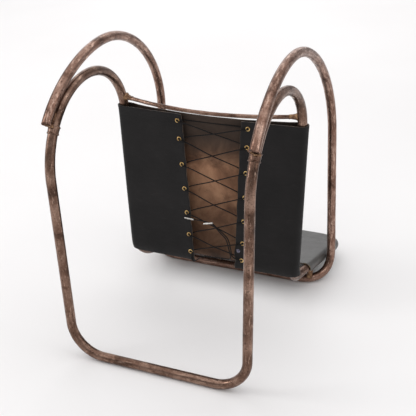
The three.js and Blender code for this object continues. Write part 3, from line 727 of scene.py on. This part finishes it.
COPPER = patinated_copper(
    "copper",
    dark=(0.030, 0.016, 0.011),
    mid=(0.160, 0.090, 0.063),
    worn=(0.86, 0.60, 0.47),
    wear=0.54,
)
LOOP_COPPER = patinated_copper(
    "copper_arch",
    dark=(0.032, 0.017, 0.012),
    mid=(0.205, 0.112, 0.080),
    worn=(0.90, 0.64, 0.52),
    wear=0.50,
)
BRAZE = braze_metal("braze")
GRAIN = black_leather("leather_grain", (0.0095, 0.0086, 0.0086), (0.035, 0.031, 0.029), (0.44, 0.62))
# Painted sheen: the seat is the same black leather, given lighter base and scuff colours to paint in
# the grey sheen of its top.
SEAT_GRAIN_AND_SHEEN = black_leather("seat_grain_and_sheen", (0.060, 0.057, 0.053), (0.20, 0.19, 0.175), (0.26, 0.40), 0.6)
FLESH = flesh_side("leather_flesh")
EDGE = cut_edge("leather_edge", (0.020, 0.016, 0.014), (0.10, 0.062, 0.035))
SEAT_EDGE = cut_edge("seat_edge", (0.07, 0.045, 0.025), (0.42, 0.27, 0.10))
BRASS = bright_metal("eyelet_brass", (0.80, 0.56, 0.24), (0.38, 0.22, 0.08), 0.24)
STEEL = bright_metal("tip_metal", (0.78, 0.77, 0.74), (0.42, 0.40, 0.37), 0.18)
CORD = waxed_cord("lace_cord")
ENAMEL = gloss_enamel("stud_enamel")
PAPER = floor_paper("floor_paper")


# ---------------------------------------------------------------- placing pieces

def place(piece, slot_name, *nodes):
    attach(piece, "root")
    if nodes:
        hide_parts(*nodes)
    return piece


# ---------------------------------------------------------------- camera, light and floor

CAMERA_AT = (-500.62, REAR_Y + 896.90, 807.47)
CAMERA_YAW = 0.3949
CAMERA_PITCH = 0.4698
CAMERA_ROLL = -0.0303
FOCAL_WIDTHS = 836.7 / 416
CAMERA_SHIFT = (-0.0523, -0.0140)

# Softboxes, in metres and watts: name, place, width and height, power.
LIGHT_TARGET = (0, 0, 0.2)
SOFTBOXES = (
    ("overhead", (0, 0, 3.0), (7.0, 7.0), 126),
    ("left_wall", (1.9, 1.0, 1.2), (0.7, 1.6), 13),
    ("right_wall", (-1.9, 0.2, 1.0), (0.9, 1.6), 6),
    ("far_wall", (0.9, -2.3, 1.3), (2.6, 1.7), 13),
)
SKY_COLOUR = (0.97, 0.97, 1.0, 1)
SKY_STRENGTH = 0.47
FLOOR_REACH = 12.0


def add_camera():
    data = bpy.data.cameras.new("camera")
    data.sensor_width = 36.0
    data.lens = FOCAL_WIDTHS * data.sensor_width
    data.shift_x, data.shift_y = CAMERA_SHIFT
    data.clip_end = 50
    camera = bpy.data.objects.new("camera", data)
    bpy.context.scene.collection.objects.link(camera)
    cos_pitch = math.cos(CAMERA_PITCH)
    forward = Vector((
        math.sin(CAMERA_YAW) * cos_pitch,
        -math.cos(CAMERA_YAW) * cos_pitch,
        -math.sin(CAMERA_PITCH),
    ))
    right = Vector((-math.cos(CAMERA_YAW), -math.sin(CAMERA_YAW), 0))
    up = right.cross(forward)
    cos_roll, sin_roll = math.cos(CAMERA_ROLL), math.sin(CAMERA_ROLL)
    turned_right = right * cos_roll + up * sin_roll
    turned_up = up * cos_roll - right * sin_roll
    matrix = Matrix((turned_right, turned_up, -forward)).transposed().to_4x4()
    matrix.translation = Vector(CAMERA_AT) * MM
    camera.matrix_world = matrix
    bpy.context.scene.camera = camera


def add_softbox(name, location, size, power):
    data = bpy.data.lights.new(name, "AREA")
    data.shape = "RECTANGLE"
    data.size, data.size_y = size
    data.energy = power
    light = bpy.data.objects.new(name, data)
    light.location = location
    aim = Vector(LIGHT_TARGET) - Vector(location)
    light.rotation_euler = aim.to_track_quat("-Z", "Y").to_euler()
    bpy.context.scene.collection.objects.link(light)


def add_studio():
    world = bpy.data.worlds.new("studio")
    world.use_nodes = True
    background = world.node_tree.nodes["Background"]
    background.inputs["Color"].default_value = SKY_COLOUR
    background.inputs["Strength"].default_value = SKY_STRENGTH
    bpy.context.scene.world = world
    bpy.context.scene.view_settings.view_transform = "Standard"
    for softbox in SOFTBOXES:
        add_softbox(*softbox)
    mesh = bpy.data.meshes.new("floor")
    turns = ((-1, -1), (1, -1), (1, 1), (-1, 1))
    corners = [(x * FLOOR_REACH, y * FLOOR_REACH, 0) for x, y in turns]
    mesh.from_pydata(corners, [], [(0, 1, 2, 3)])
    mesh.materials.append(PAPER)
    floor = bpy.data.objects.new("floor", mesh)
    bpy.context.scene.collection.objects.link(floor)


# ---------------------------------------------------------------- the frame

def tube_radius(point, spoke):
    """Nearly round, with the shallow dents and flats of hand bending."""
    dents = wobble(point + spoke * 4, 34, 0.22, 3.0)
    return TUBE_R - 0.08 + dents * 0.6


def rod_radius(point, spoke):
    return ROD_R + wobble(point + spoke * 2, 11, 0.28, 9.0)


def add_tubes():
    loop = swept("outer_loop", outer_loop_points(), tube_radius, LOOP_COPPER, 40, open_ends=True)
    place(loop, "copper", "left_outer_arch", "right_outer_arch", "front_floor_bar")
    inner = swept("inner_frame", inner_frame_points(), tube_radius, COPPER, 40)
    place(inner, "copper", "left_inner_arch", "right_inner_arch", "seat_front_bar")
    legs = swept("rear_legs", rear_loop_points(), tube_radius, COPPER, 40)
    place(legs, "copper", "rear_leg_loop")


def add_couplings():
    half = COLLAR_LENGTH / 2
    for name, side in SIDES:
        shoulder = rear_shoulder(side)
        arc = line_length(shoulder.samples(60))
        points = []
        radii = []
        for i in range(-12, 13):
            share = i / 12
            points.append(shoulder.at(COLLAR_AT + share * half / arc))
            lip = math.exp(-((abs(share) - 0.82) / 0.14) ** 2)
            radii.append(TUBE_R + 0.75 + 0.9 * lip)
        # swept() asks for a radius by point, so the lips are looked up by where they are.
        radius_at = {tuple(round(x, 4) for x in p): r for p, r in zip(points, radii)}

        def collar_radius(point, spoke, radius_at=radius_at):
            base = radius_at.get(tuple(round(x, 4) for x in point), TUBE_R + 1.2)
            return base + wobble(point + spoke * 9, 6, 0.5, 5.0 + side)

        collar = swept(f"{name}_collar", points, collar_radius, COPPER, 36)
        place(collar, "copper", f"{name}_coupling")


def blob(name, centre, radii, axis, material, seed, lump=0.25):
    """A lump of filler metal, stretched along axis."""
    turn = Vector((0, 0, 1)).rotation_difference(axis)
    rings, sides = 14, 20
    vertices = []
    for k in range(rings + 1):
        polar = math.pi * k / rings
        for i in range(sides):
            angle = 2 * math.pi * i / sides
            unit = Vector((
                math.sin(polar) * math.cos(angle),
                math.sin(polar) * math.sin(angle),
                math.cos(polar),
            ))
            swell = 1 + wobble(unit * 10, 5.5, lump, seed)
            local = Vector((unit.x * radii[0], unit.y * radii[1], unit.z * radii[2])) * swell
            vertices.append(centre + turn @ local)
    return new_object(name, vertices, ring_faces(rings + 1, sides), [material])


def add_end_braze(name, side):
    """Lumps of filler that tie the outer tube's cut end to the collar beside it."""
    route = outer_side(side)
    end, beyond = route[0], route[2]
    along = (beyond - end).normalized()
    collar = rear_shoulder(side).at(COLLAR_AT)
    towards = (collar - end - along * (collar - end).dot(along)).normalized()
    other = along.cross(towards)
    for i, (turn, size) in enumerate(END_LUMPS):
        spoke = towards * math.cos(turn) + other * math.sin(turn)
        centre = end + spoke * (TUBE_R - 0.6) + along * (0.8 + i * 0.7)
        radii = (size, size * 1.2, size * 1.5)
        lump = blob(f"{name}_end_braze_{i}", centre, radii, other, BRAZE, 3.0 + i, 0.5)
        place(lump, "braze")


def add_brazing():
    for name, side in SIDES:
        add_end_braze(name, side)
        inner = rear_shoulder(side).at(0.5)
        outer = outer_side(side)[3]
        along = (rear_shoulder(side).at(0.54) - rear_shoulder(side).at(0.46)).normalized()
        middle = (inner + outer) / 2
        bead = blob(f"{name}_arch_braze", middle, ARCH_BEAD_RADII, along, BRAZE, 2.0 + side)
        place(bead, "braze", f"{name}_braze_bead")
        low = at(side * STRUT_X, LOOP_BAR_DEPTH + 2, 12)
        x, z = rail_at(LOOP_BAR_DEPTH)
        high = at(side * x, LOOP_BAR_DEPTH, z)

        def post_radius(point, spoke, low=low, high=high):
            share = clamp((point.z - low.z) / (high.z - low.z))
            flare = abs(share - 0.5) * 2
            return STRUT_R - 0.6 + 2.0 * flare ** 2 + wobble(point + spoke * 5, 5, 0.5, 8.0)

        post = swept(f"{name}_strut", straight(low, high, 1.0), post_radius, BRAZE, 24)
        place(post, "braze", f"{name}_seat_strut")


def rod_points():
    _, depth = height_on(crown_bend(1), ROD_Z)
    reach = ARCH_X - TUBE_R + 1
    out = Vector((reach, 2 * ROD_BOW, -2 * ROD_SAG))
    back = Vector((reach, -2 * ROD_BOW, 2 * ROD_SAG))
    handle = out.length * 2 / 3
    curve = Bend(at(-reach, depth, ROD_Z), out, handle, at(reach, depth, ROD_Z), back, handle)
    return curve.samples(90)


def add_cross_rod():
    points = rod_points()
    rod = swept("top_rod", points, rod_radius, COPPER, 20)
    place(rod, "copper", "cross_rod")
    for name, side in SIDES:
        run = points if side < 0 else points[::-1]
        neck = run[:5]

        def neck_radius(point, spoke, start=run[0]):
            away = (point - start).length
            return ROD_R + 0.4 + 3.6 * math.exp(-away / 3.0) + wobble(point + spoke * 4, 4, 0.5, 1.5)

        fillet = swept(f"{name}_rod_fillet", catmull(neck, 5), neck_radius, BRAZE, 20)
        place(fillet, "braze", f"{name}_rod_braze")


# ---------------------------------------------------------------- the leather back

def bow_at(z):
    t = (z - BACK_BOW_ENDS_Z) / (BACK_TOP - BACK_BOW_ENDS_Z)
    return max(t, 0) ** 1.4


def between_rows(flap, z):
    return lerp(flap["bottom"], flap["top"], (z - BACK_BOTTOM) / (BACK_TOP - BACK_BOTTOM))


def back_skin_radius(z):
    return SKIN_R + max(FLARE_TOP_Z - z, 0) * 0.15 + max(z - UPRIGHT_TOP[1], 0) * 0.04


def back_arch(s, z):
    return 1 - (s / upright_at(z)[0]) ** 2


def back_place(s, n, z):
    return at(s, upright_at(z)[1] + n, z)


def flap_ripple(s, z, flap):
    """The flap's laced edge lifts a little between eyelets and is pulled in at them."""
    edge = between_rows(flap, z)
    near = clamp(1 - abs(s - edge) / 26)
    nearest = min(abs(z - row) for row in EYELET_ROWS)
    return near ** 2 * (2.0 * smooth(nearest / 20) + 0.4)


SHEET_STEPS = 64
FLAP_STEPS = 22
WRAP_STEPS = 12
LEVEL_STEPS = 60


def back_section(z):
    """(s, n) places along the leather's middle line at height z, left flap edge to right."""
    half, _ = upright_at(z)
    radius = back_skin_radius(z)
    section = []

    def flap_n(s, flap):
        return -radius - BACK_FLAP_BOW * bow_at(z) * back_arch(s, z) - flap_ripple(s, z, flap)

    def wrap(side, i):
        angle = (i / WRAP_STEPS - 0.5) * math.pi
        return side * (half + radius * math.cos(angle)), radius * math.sin(angle)

    left = between_rows(LEFT_FLAP, z) + wobble(Vector((0, 0, z)), 20, 2.0, 4.0)
    right = between_rows(RIGHT_FLAP, z) + wobble(Vector((0, 0, z)), 16, 1.2, 14.0)
    for i in range(FLAP_STEPS):
        s = lerp(left, -half, i / FLAP_STEPS)
        section.append((s, flap_n(s, LEFT_FLAP)))
    section.extend(wrap(-1, i) for i in range(WRAP_STEPS + 1))
    for i in range(1, SHEET_STEPS):
        s = lerp(-half, half, i / SHEET_STEPS)
        ease = smooth(min(i, SHEET_STEPS - i) / 5)
        dish = 1.2 * back_arch(s, z)
        section.append((s, radius - (BACK_SHEET_BOW * bow_at(z) * back_arch(s, z) + dish) * ease))
    section.extend(wrap(1, i) for i in range(WRAP_STEPS, -1, -1))
    for i in range(FLAP_STEPS - 1, -1, -1):
        s = lerp(right, half, i / FLAP_STEPS)
        section.append((s, flap_n(s, RIGHT_FLAP)))
    return section


def corner_lift(s, z):
    """How far the bottom edge rises where the leather turns round an upright."""
    outward = smooth((abs(s) - (upright_at(z)[0] - 12)) / 18)
    return BACK_CORNER_LIFT * outward


def back_levels():
    levels = [BACK_BOTTOM + 0.3]
    for i in range(LEVEL_STEPS + 1):
        levels.append(lerp(BACK_BOTTOM + 1.6, BACK_TOP - 1.6, i / LEVEL_STEPS))
    levels.append(BACK_TOP - 0.3)
    return levels


def add_back():
    levels = back_levels()
    section_size = len(back_section(200))
    vertices = []
    for z in levels:
        rise = (z - BACK_BOTTOM) / (BACK_TOP - BACK_BOTTOM)
        for index, (s, n) in enumerate(back_section(z)):
            height = z + corner_lift(s, z) * (1 - rise) ** 6
            edge = wobble(Vector((s, index * 0.3, 0)), 30, 0.8, 7.0)
            height += edge * (rise ** 12 - (1 - rise) ** 12) * 0.5
            point = back_place(s, n, height)
            pucker = wobble(Vector((s, 0, z)), 55, 0.55, 11.0)
            vertices.append(point + Vector((0, pucker, 0)))
    faces = []
    for k in range(len(levels) - 1):
        for i in range(section_size - 1):
            a = k * section_size + i
            faces.append((a, a + 1, a + 1 + section_size, a + section_size))
    piece = new_object("back_leather", vertices, faces, [GRAIN, FLESH, EDGE])
    thicken(piece)
    place(piece, "leather", "back_sheet", "back_left_flap", "back_right_flap")
    girth = line_length([Vector((s, n, 0)) for s, n in back_section(BACK_TOP)])


def thicken(piece):
    """Gives a leather surface its thickness. Its far face is the flesh side, its rim the cut edge."""
    solid = piece.modifiers.new("thickness", "SOLIDIFY")
    solid.thickness = (LEATHER - 0.1) * MM
    solid.offset = 0
    solid.use_even_offset = True
    solid.material_offset = 1
    solid.material_offset_rim = 2
    rounding = piece.modifiers.new("rounding", "SUBSURF")
    rounding.levels = 1
    rounding.render_levels = 1


def on_face(face_point, s, station):
    """A point on a flap's outer face, and a direction square to the leather there."""
    along = face_point(s, station + 1) - face_point(s, station - 1)
    across = face_point(s + 1, station) - face_point(s - 1, station)
    return face_point(s, station), along.cross(across).normalized()


def back_face(s, z):
    flare = max(FLARE_TOP_Z - z, 0) * 0.15
    n = SLEEVE_R + LEATHER + flare + BACK_FLAP_BOW * bow_at(z) * back_arch(s, z)
    return back_place(s, -n, z)


def seat_face(s, depth):
    _, z = rail_at(depth)
    return at(s, depth, z - SLEEVE_R - LEATHER)


def over_back(s, z, lift):
    point, normal = on_face(back_face, s, z)
    if normal.y < 0:
        normal = -normal
    return point + normal * lift, normal


def over_seat(s, depth, lift):
    point, normal = on_face(seat_face, s, depth)
    if normal.z > 0:
        normal = -normal
    return point + normal * lift, normal


# ---------------------------------------------------------------- eyelets and laces

def eyelet_x(flap, z):
    t = (z - EYELET_ROWS[-1]) / (EYELET_ROWS[0] - EYELET_ROWS[-1])
    return lerp(flap["eyelet_bottom"], flap["eyelet_top"], t)


def back_rows():
    rows = []
    for z in EYELET_ROWS:
        rows.append((z, {"left": eyelet_x(LEFT_FLAP, z), "right": eyelet_x(RIGHT_FLAP, z)}))
    return rows


def seat_rows():
    return [(depth, {"left": -SEAT_EYELET_X, "right": SEAT_EYELET_X}) for depth in SEAT_EYELET_ROWS]


EYELET_PROFILE = [
    (1.9, -3.2), (2.9, -3.2), (3.3, -3.0), (3.3, -2.5), (2.3, -2.5), (2.3, 0.1),
    (3.6, 0.05), (3.8, 0.25), (3.75, 0.55), (3.4, 0.85), (2.9, 1.0), (2.4, 0.9),
    (2.05, 0.6), (1.9, 0.1), (1.9, -3.2),
]


def add_eyelets(name, rows, over):
    for i, (station, across) in enumerate(rows):
        for side in ("left", "right"):
            point, normal = over(across[side], station, 0)
            node = f"{name}_eyelet_{side}_{i + 1}"
            ring = lathe(f"{name}_grommet_{side}_{i + 1}", EYELET_PROFILE, point, normal, BRASS, 28)
            place(ring, "eyelet", node)


def thread(over, s, station, towards_gap, next_station):
    below = -LEATHER - 1.65
    drift = (next_station - station) * 0.05
    return [
        over(s + towards_gap * 2.6, station, below - 0.4)[0],
        over(s + towards_gap * 0.4, station, below + 0.5)[0],
        over(s, station, -1)[0],
        over(s + towards_gap * 0.4, station + drift * 0.2, LACE_LIFT - 0.5)[0],
        over(s + towards_gap * 3.2, station + drift, LACE_LIFT)[0],
    ]


def zigzag(over, rows, edges, first_side, crossing_lift):
    points = []
    side = first_side
    for i, (station, across) in enumerate(rows):
        other = "right" if side == "left" else "left"
        towards_gap = 1 if side == "left" else -1
        following = rows[i + 1] if i + 1 < len(rows) else None
        next_station = following[0] if following else station
        points += thread(over, across[side], station, towards_gap, next_station)
        if not following:
            break
        edge = edges[side](station)
        far_edge = edges[other](following[0])
        spread = following[1][other] - across[side]

        def station_at(s, here=across[side], station=station, spread=spread, following=following):
            return lerp(station, following[0], (s - here) / spread)

        over_edge = edge + towards_gap * 2.5
        middle = (edge + far_edge) / 2
        under_edge = far_edge - towards_gap * 2
        points.append(over(over_edge, station_at(over_edge), 0.6)[0])
        points.append(over(middle, station_at(middle), crossing_lift)[0])
        points.append(over(under_edge, station_at(under_edge), -LEATHER - LACE_R - 1.2)[0])
        side = other
    return points


def lace_radius(point, spoke):
    return LACE_R


def tail_points(shift):
    places = [
        (-41 + shift, 97, 3.2 + shift),
        (-38 + shift, 113, 4.4 + shift),
        (-33.5 + shift, 129.5, 5 + shift),
        (-25 + shift, 138, 4.6 + shift),
        (-15 + shift, 145.5 + shift, 4.2 + shift),
        (-6, 152 + shift, 3.8 + shift),
    ]
    return [over_back(*spot)[0] for spot in places]


def aglet(name, start, tip, node):
    inwards = (start - tip).normalized()
    begin = start + inwards * 2
    end = begin - inwards * (AGLET_LENGTH + 1)
    points = straight(begin, end, 0.5)

    def radius(point, spoke):
        share = (point - begin).length / (AGLET_LENGTH + 1)
        crimp = 0.12 * math.exp(-((share - 0.12) / 0.03) ** 2)
        taper = smooth((share - 0.8) / 0.2) * 0.45
        return AGLET_R - crimp - taper

    return place(swept(name, points, radius, STEEL, 20), "lace_tip", node)


def line_length(points):
    return sum((b - a).length for a, b in zip(points, points[1:]))


def free_end(name, path):
    """The loose end of the lace, from where it leaves the leather to its metal tip."""
    tail = swept(name, path, lace_radius, CORD, 12)
    place(tail, "lace", "back_lace")


# Where the lace goes round the back's bottom edge: distance across, height, lift off the leather.
ROUND_BOTTOM_EDGE = (
    (36, 78, 2.4),
    (33.5, 69.5, 0.5),
    (29, 68.5, -4.2),
    (20, 79, -5),
    (-12, 84, -4.6),
    (-33, 88, -1.6),
)


def add_back_lace():
    rows = back_rows()
    edges = {
        "left": lambda z: between_rows(LEFT_FLAP, z),
        "right": lambda z: between_rows(RIGHT_FLAP, z),
    }
    first = zigzag(over_back, rows, edges, "left", 0.5)
    second = zigzag(over_back, rows, edges, "right", -2.1)
    long_tail = [over_back(14, 153.5, 2.6)[0], over_back(30, 153.5, 2.4)[0]]
    first_end = tail_points(0) + long_tail
    second_end = [over_back(*spot)[0] for spot in ROUND_BOTTOM_EDGE] + tail_points(2.4)
    points = first_end[::-1] + first[::-1] + second + second_end
    line = catmull(points, 7)
    long_share = line[:(len(first_end) - 1) * 7 + 1]
    short_share = line[-((len(tail_points(0)) - 1) * 7 + 1):]
    laced = line[len(long_share) - 1:len(line) - len(short_share) + 1]
    lace = swept("back_lacing", laced, lace_radius, CORD, 12)
    place(lace, "lace", "back_lace")
    long_tip = aglet("long_tip", points[0], over_back(50, 154.5, 2.4)[0], "lace_tip_long")
    short_tip = aglet("short_tip", points[-1], over_back(9, 150.8, 6.4)[0], "lace_tip_short")
    free_end("long_tail", long_share[::-1])
    free_end("short_tail", short_share)


def add_seat_lace():
    rows = seat_rows()
    edges = {"left": lambda depth: -SEAT_FLAP_X, "right": lambda depth: SEAT_FLAP_X}
    first = zigzag(over_seat, rows, edges, "left", 0.4)
    second = zigzag(over_seat, rows, edges, "right", -2.2)
    lace = swept("seat_lacing", catmull(first[::-1] + second, 7), lace_radius, CORD, 12)
    place(lace, "lace", "seat_lace")


# The dome as (radius, height), from the leather to its crown.
STUD_PROFILE = [
    (0.01, 0.0),
    (4.0, 0.05),
    (4.0, 0.45),
    (3.75, 0.9),
    (3.2, 1.5),
    (2.3, 2.05),
    (1.2, 2.35),
    (0.01, 2.45),
]


def add_stud():
    point, normal = over_back(-50, 108, 0)
    place(lathe("edge_stud", STUD_PROFILE, point, normal, ENAMEL, 36), "stud", "flap_stud")


# ---------------------------------------------------------------- the leather seat

RAIL_STATIONS = 34
CORNER_STATIONS = 22
BAR_STATIONS = 20
SEAT_WRAP_STEPS = 16
SEAT_TOP_STEPS = 34
SEAT_FLAP_STEPS = 18


def seat_path():
    """Stations along the right rail, round the corner and along the front bar to the middle."""
    stations = []
    for i in range(RAIL_STATIONS):
        depth = lerp(SEAT_REAR_DEPTH, RAIL_FRONT[1], i / RAIL_STATIONS)
        x, z = rail_at(depth)
        stations.append(at(x, depth, z))
    corner = front_corner(1)
    stations.extend(corner.at(i / CORNER_STATIONS) for i in range(CORNER_STATIONS))
    bar = at(RAIL_FRONT[0] - FRONT_CORNER, *FRONT_BAR)
    middle = at(0, *FRONT_BAR)
    stations.extend(bar.lerp(middle, i / BAR_STATIONS) for i in range(BAR_STATIONS + 1))
    return stations


def seat_top_z(x, depth):
    """The height of the leather's middle surface over the seat's open middle."""
    half, _ = rail_at(min(depth, RAIL_FRONT[1]))
    across = 1 - clamp(abs(x) / half) ** 2
    lengthways = smooth((FRONT_BAR[0] - depth) / 60)
    past = smooth((depth - RAIL_FRONT[1] + 12) / (FRONT_BAR[0] - RAIL_FRONT[1]))
    level = lerp(rail_at(min(depth, RAIL_FRONT[1]))[1], FRONT_BAR[1], past)
    return level + SKIN_R - SEAT_SAG * across * lengthways


def seat_half(side):
    """Vertex rows for one half of the seat, from the rear mouth to the middle of the front."""
    stations = seat_path()
    last = len(stations) - 1
    rows = []
    for k, centre in enumerate(stations):
        tangent = (stations[min(k + 1, last)] - stations[max(k - 1, 0)]).normalized()
        outside = tangent.cross(Vector((0, 0, 1))).normalized()
        if outside.x < -0.01 or (abs(outside.x) < 0.01 and outside.y > 0):
            outside = -outside
        above = Vector((0, 0, 1))
        rear_share = clamp(1 - k / (RAIL_STATIONS - 4))
        row = []
        spine = at(0, lerp(SEAT_REAR_DEPTH, FRONT_BAR[0] - 9, k / last), 0)
        for j in range(SEAT_TOP_STEPS):
            flat = spine.lerp(centre, j / SEAT_TOP_STEPS)
            row.append(Vector((flat.x, flat.y, seat_top_z(flat.x, REAR_Y - flat.y))))
        for j in range(SEAT_WRAP_STEPS + 1):
            share = j / SEAT_WRAP_STEPS
            angle = (0.5 - share) * math.pi
            cut = (SEAT_REAR_DEPTH_BELOW - SEAT_REAR_DEPTH) * rear_share * smooth((share - 0.6) / 0.4)
            point = centre + outside * (SKIN_R * math.cos(angle)) + above * (SKIN_R * math.sin(angle))
            shift = tangent * cut if k < RAIL_STATIONS else Vector((0, 0, 0))
            row.append(point + shift)
        bottom = row[-1]
        reach = seat_flap_reach(k, centre)
        for j in range(1, SEAT_FLAP_STEPS + 1):
            row.append(bottom - outside_level(outside) * (reach * j / SEAT_FLAP_STEPS))
        rows.append([Vector((p.x * side, p.y, p.z)) for p in row])
    return rows


def outside_level(outside):
    return Vector((outside.x, outside.y, 0)).normalized()


def seat_flap_reach(k, centre):
    """How far the leather runs in underneath: nearly to the middle, but a hem at the front."""
    hem = 9.0
    flap = abs(centre.x) - SEAT_FLAP_X
    share = smooth((k - (RAIL_STATIONS - 7)) / 6)
    return lerp(flap, hem, share)


def add_seat():
    vertices = []
    faces = []
    for side in (1, -1):
        rows = seat_half(side)
        width = len(rows[0])
        base = len(vertices)
        for row in rows:
            vertices.extend(row)
        for k in range(len(rows) - 1):
            for j in range(width - 1):
                a = base + k * width + j
                quad = (a, a + width, a + width + 1, a + 1)
                faces.append(quad if side > 0 else quad[::-1])
    piece = new_object("seat_leather", vertices, faces, [SEAT_GRAIN_AND_SHEEN, FLESH, SEAT_EDGE])
    weld = piece.modifiers.new("weld", "WELD")
    weld.merge_threshold = 0.05 * MM
    thicken(piece)
    place(piece, "leather", "seat_sheet", "seat_left_flap", "seat_right_flap", "seat_front_hem")


# ---------------------------------------------------------------- build

add_camera()
add_studio()
add_back_lace()
add_seat_lace()
add_tubes()
add_couplings()
add_brazing()
add_cross_rod()
add_back()
add_seat()
add_eyelets("back", back_rows(), over_back)
add_eyelets("seat", seat_rows(), over_seat)
add_stud()
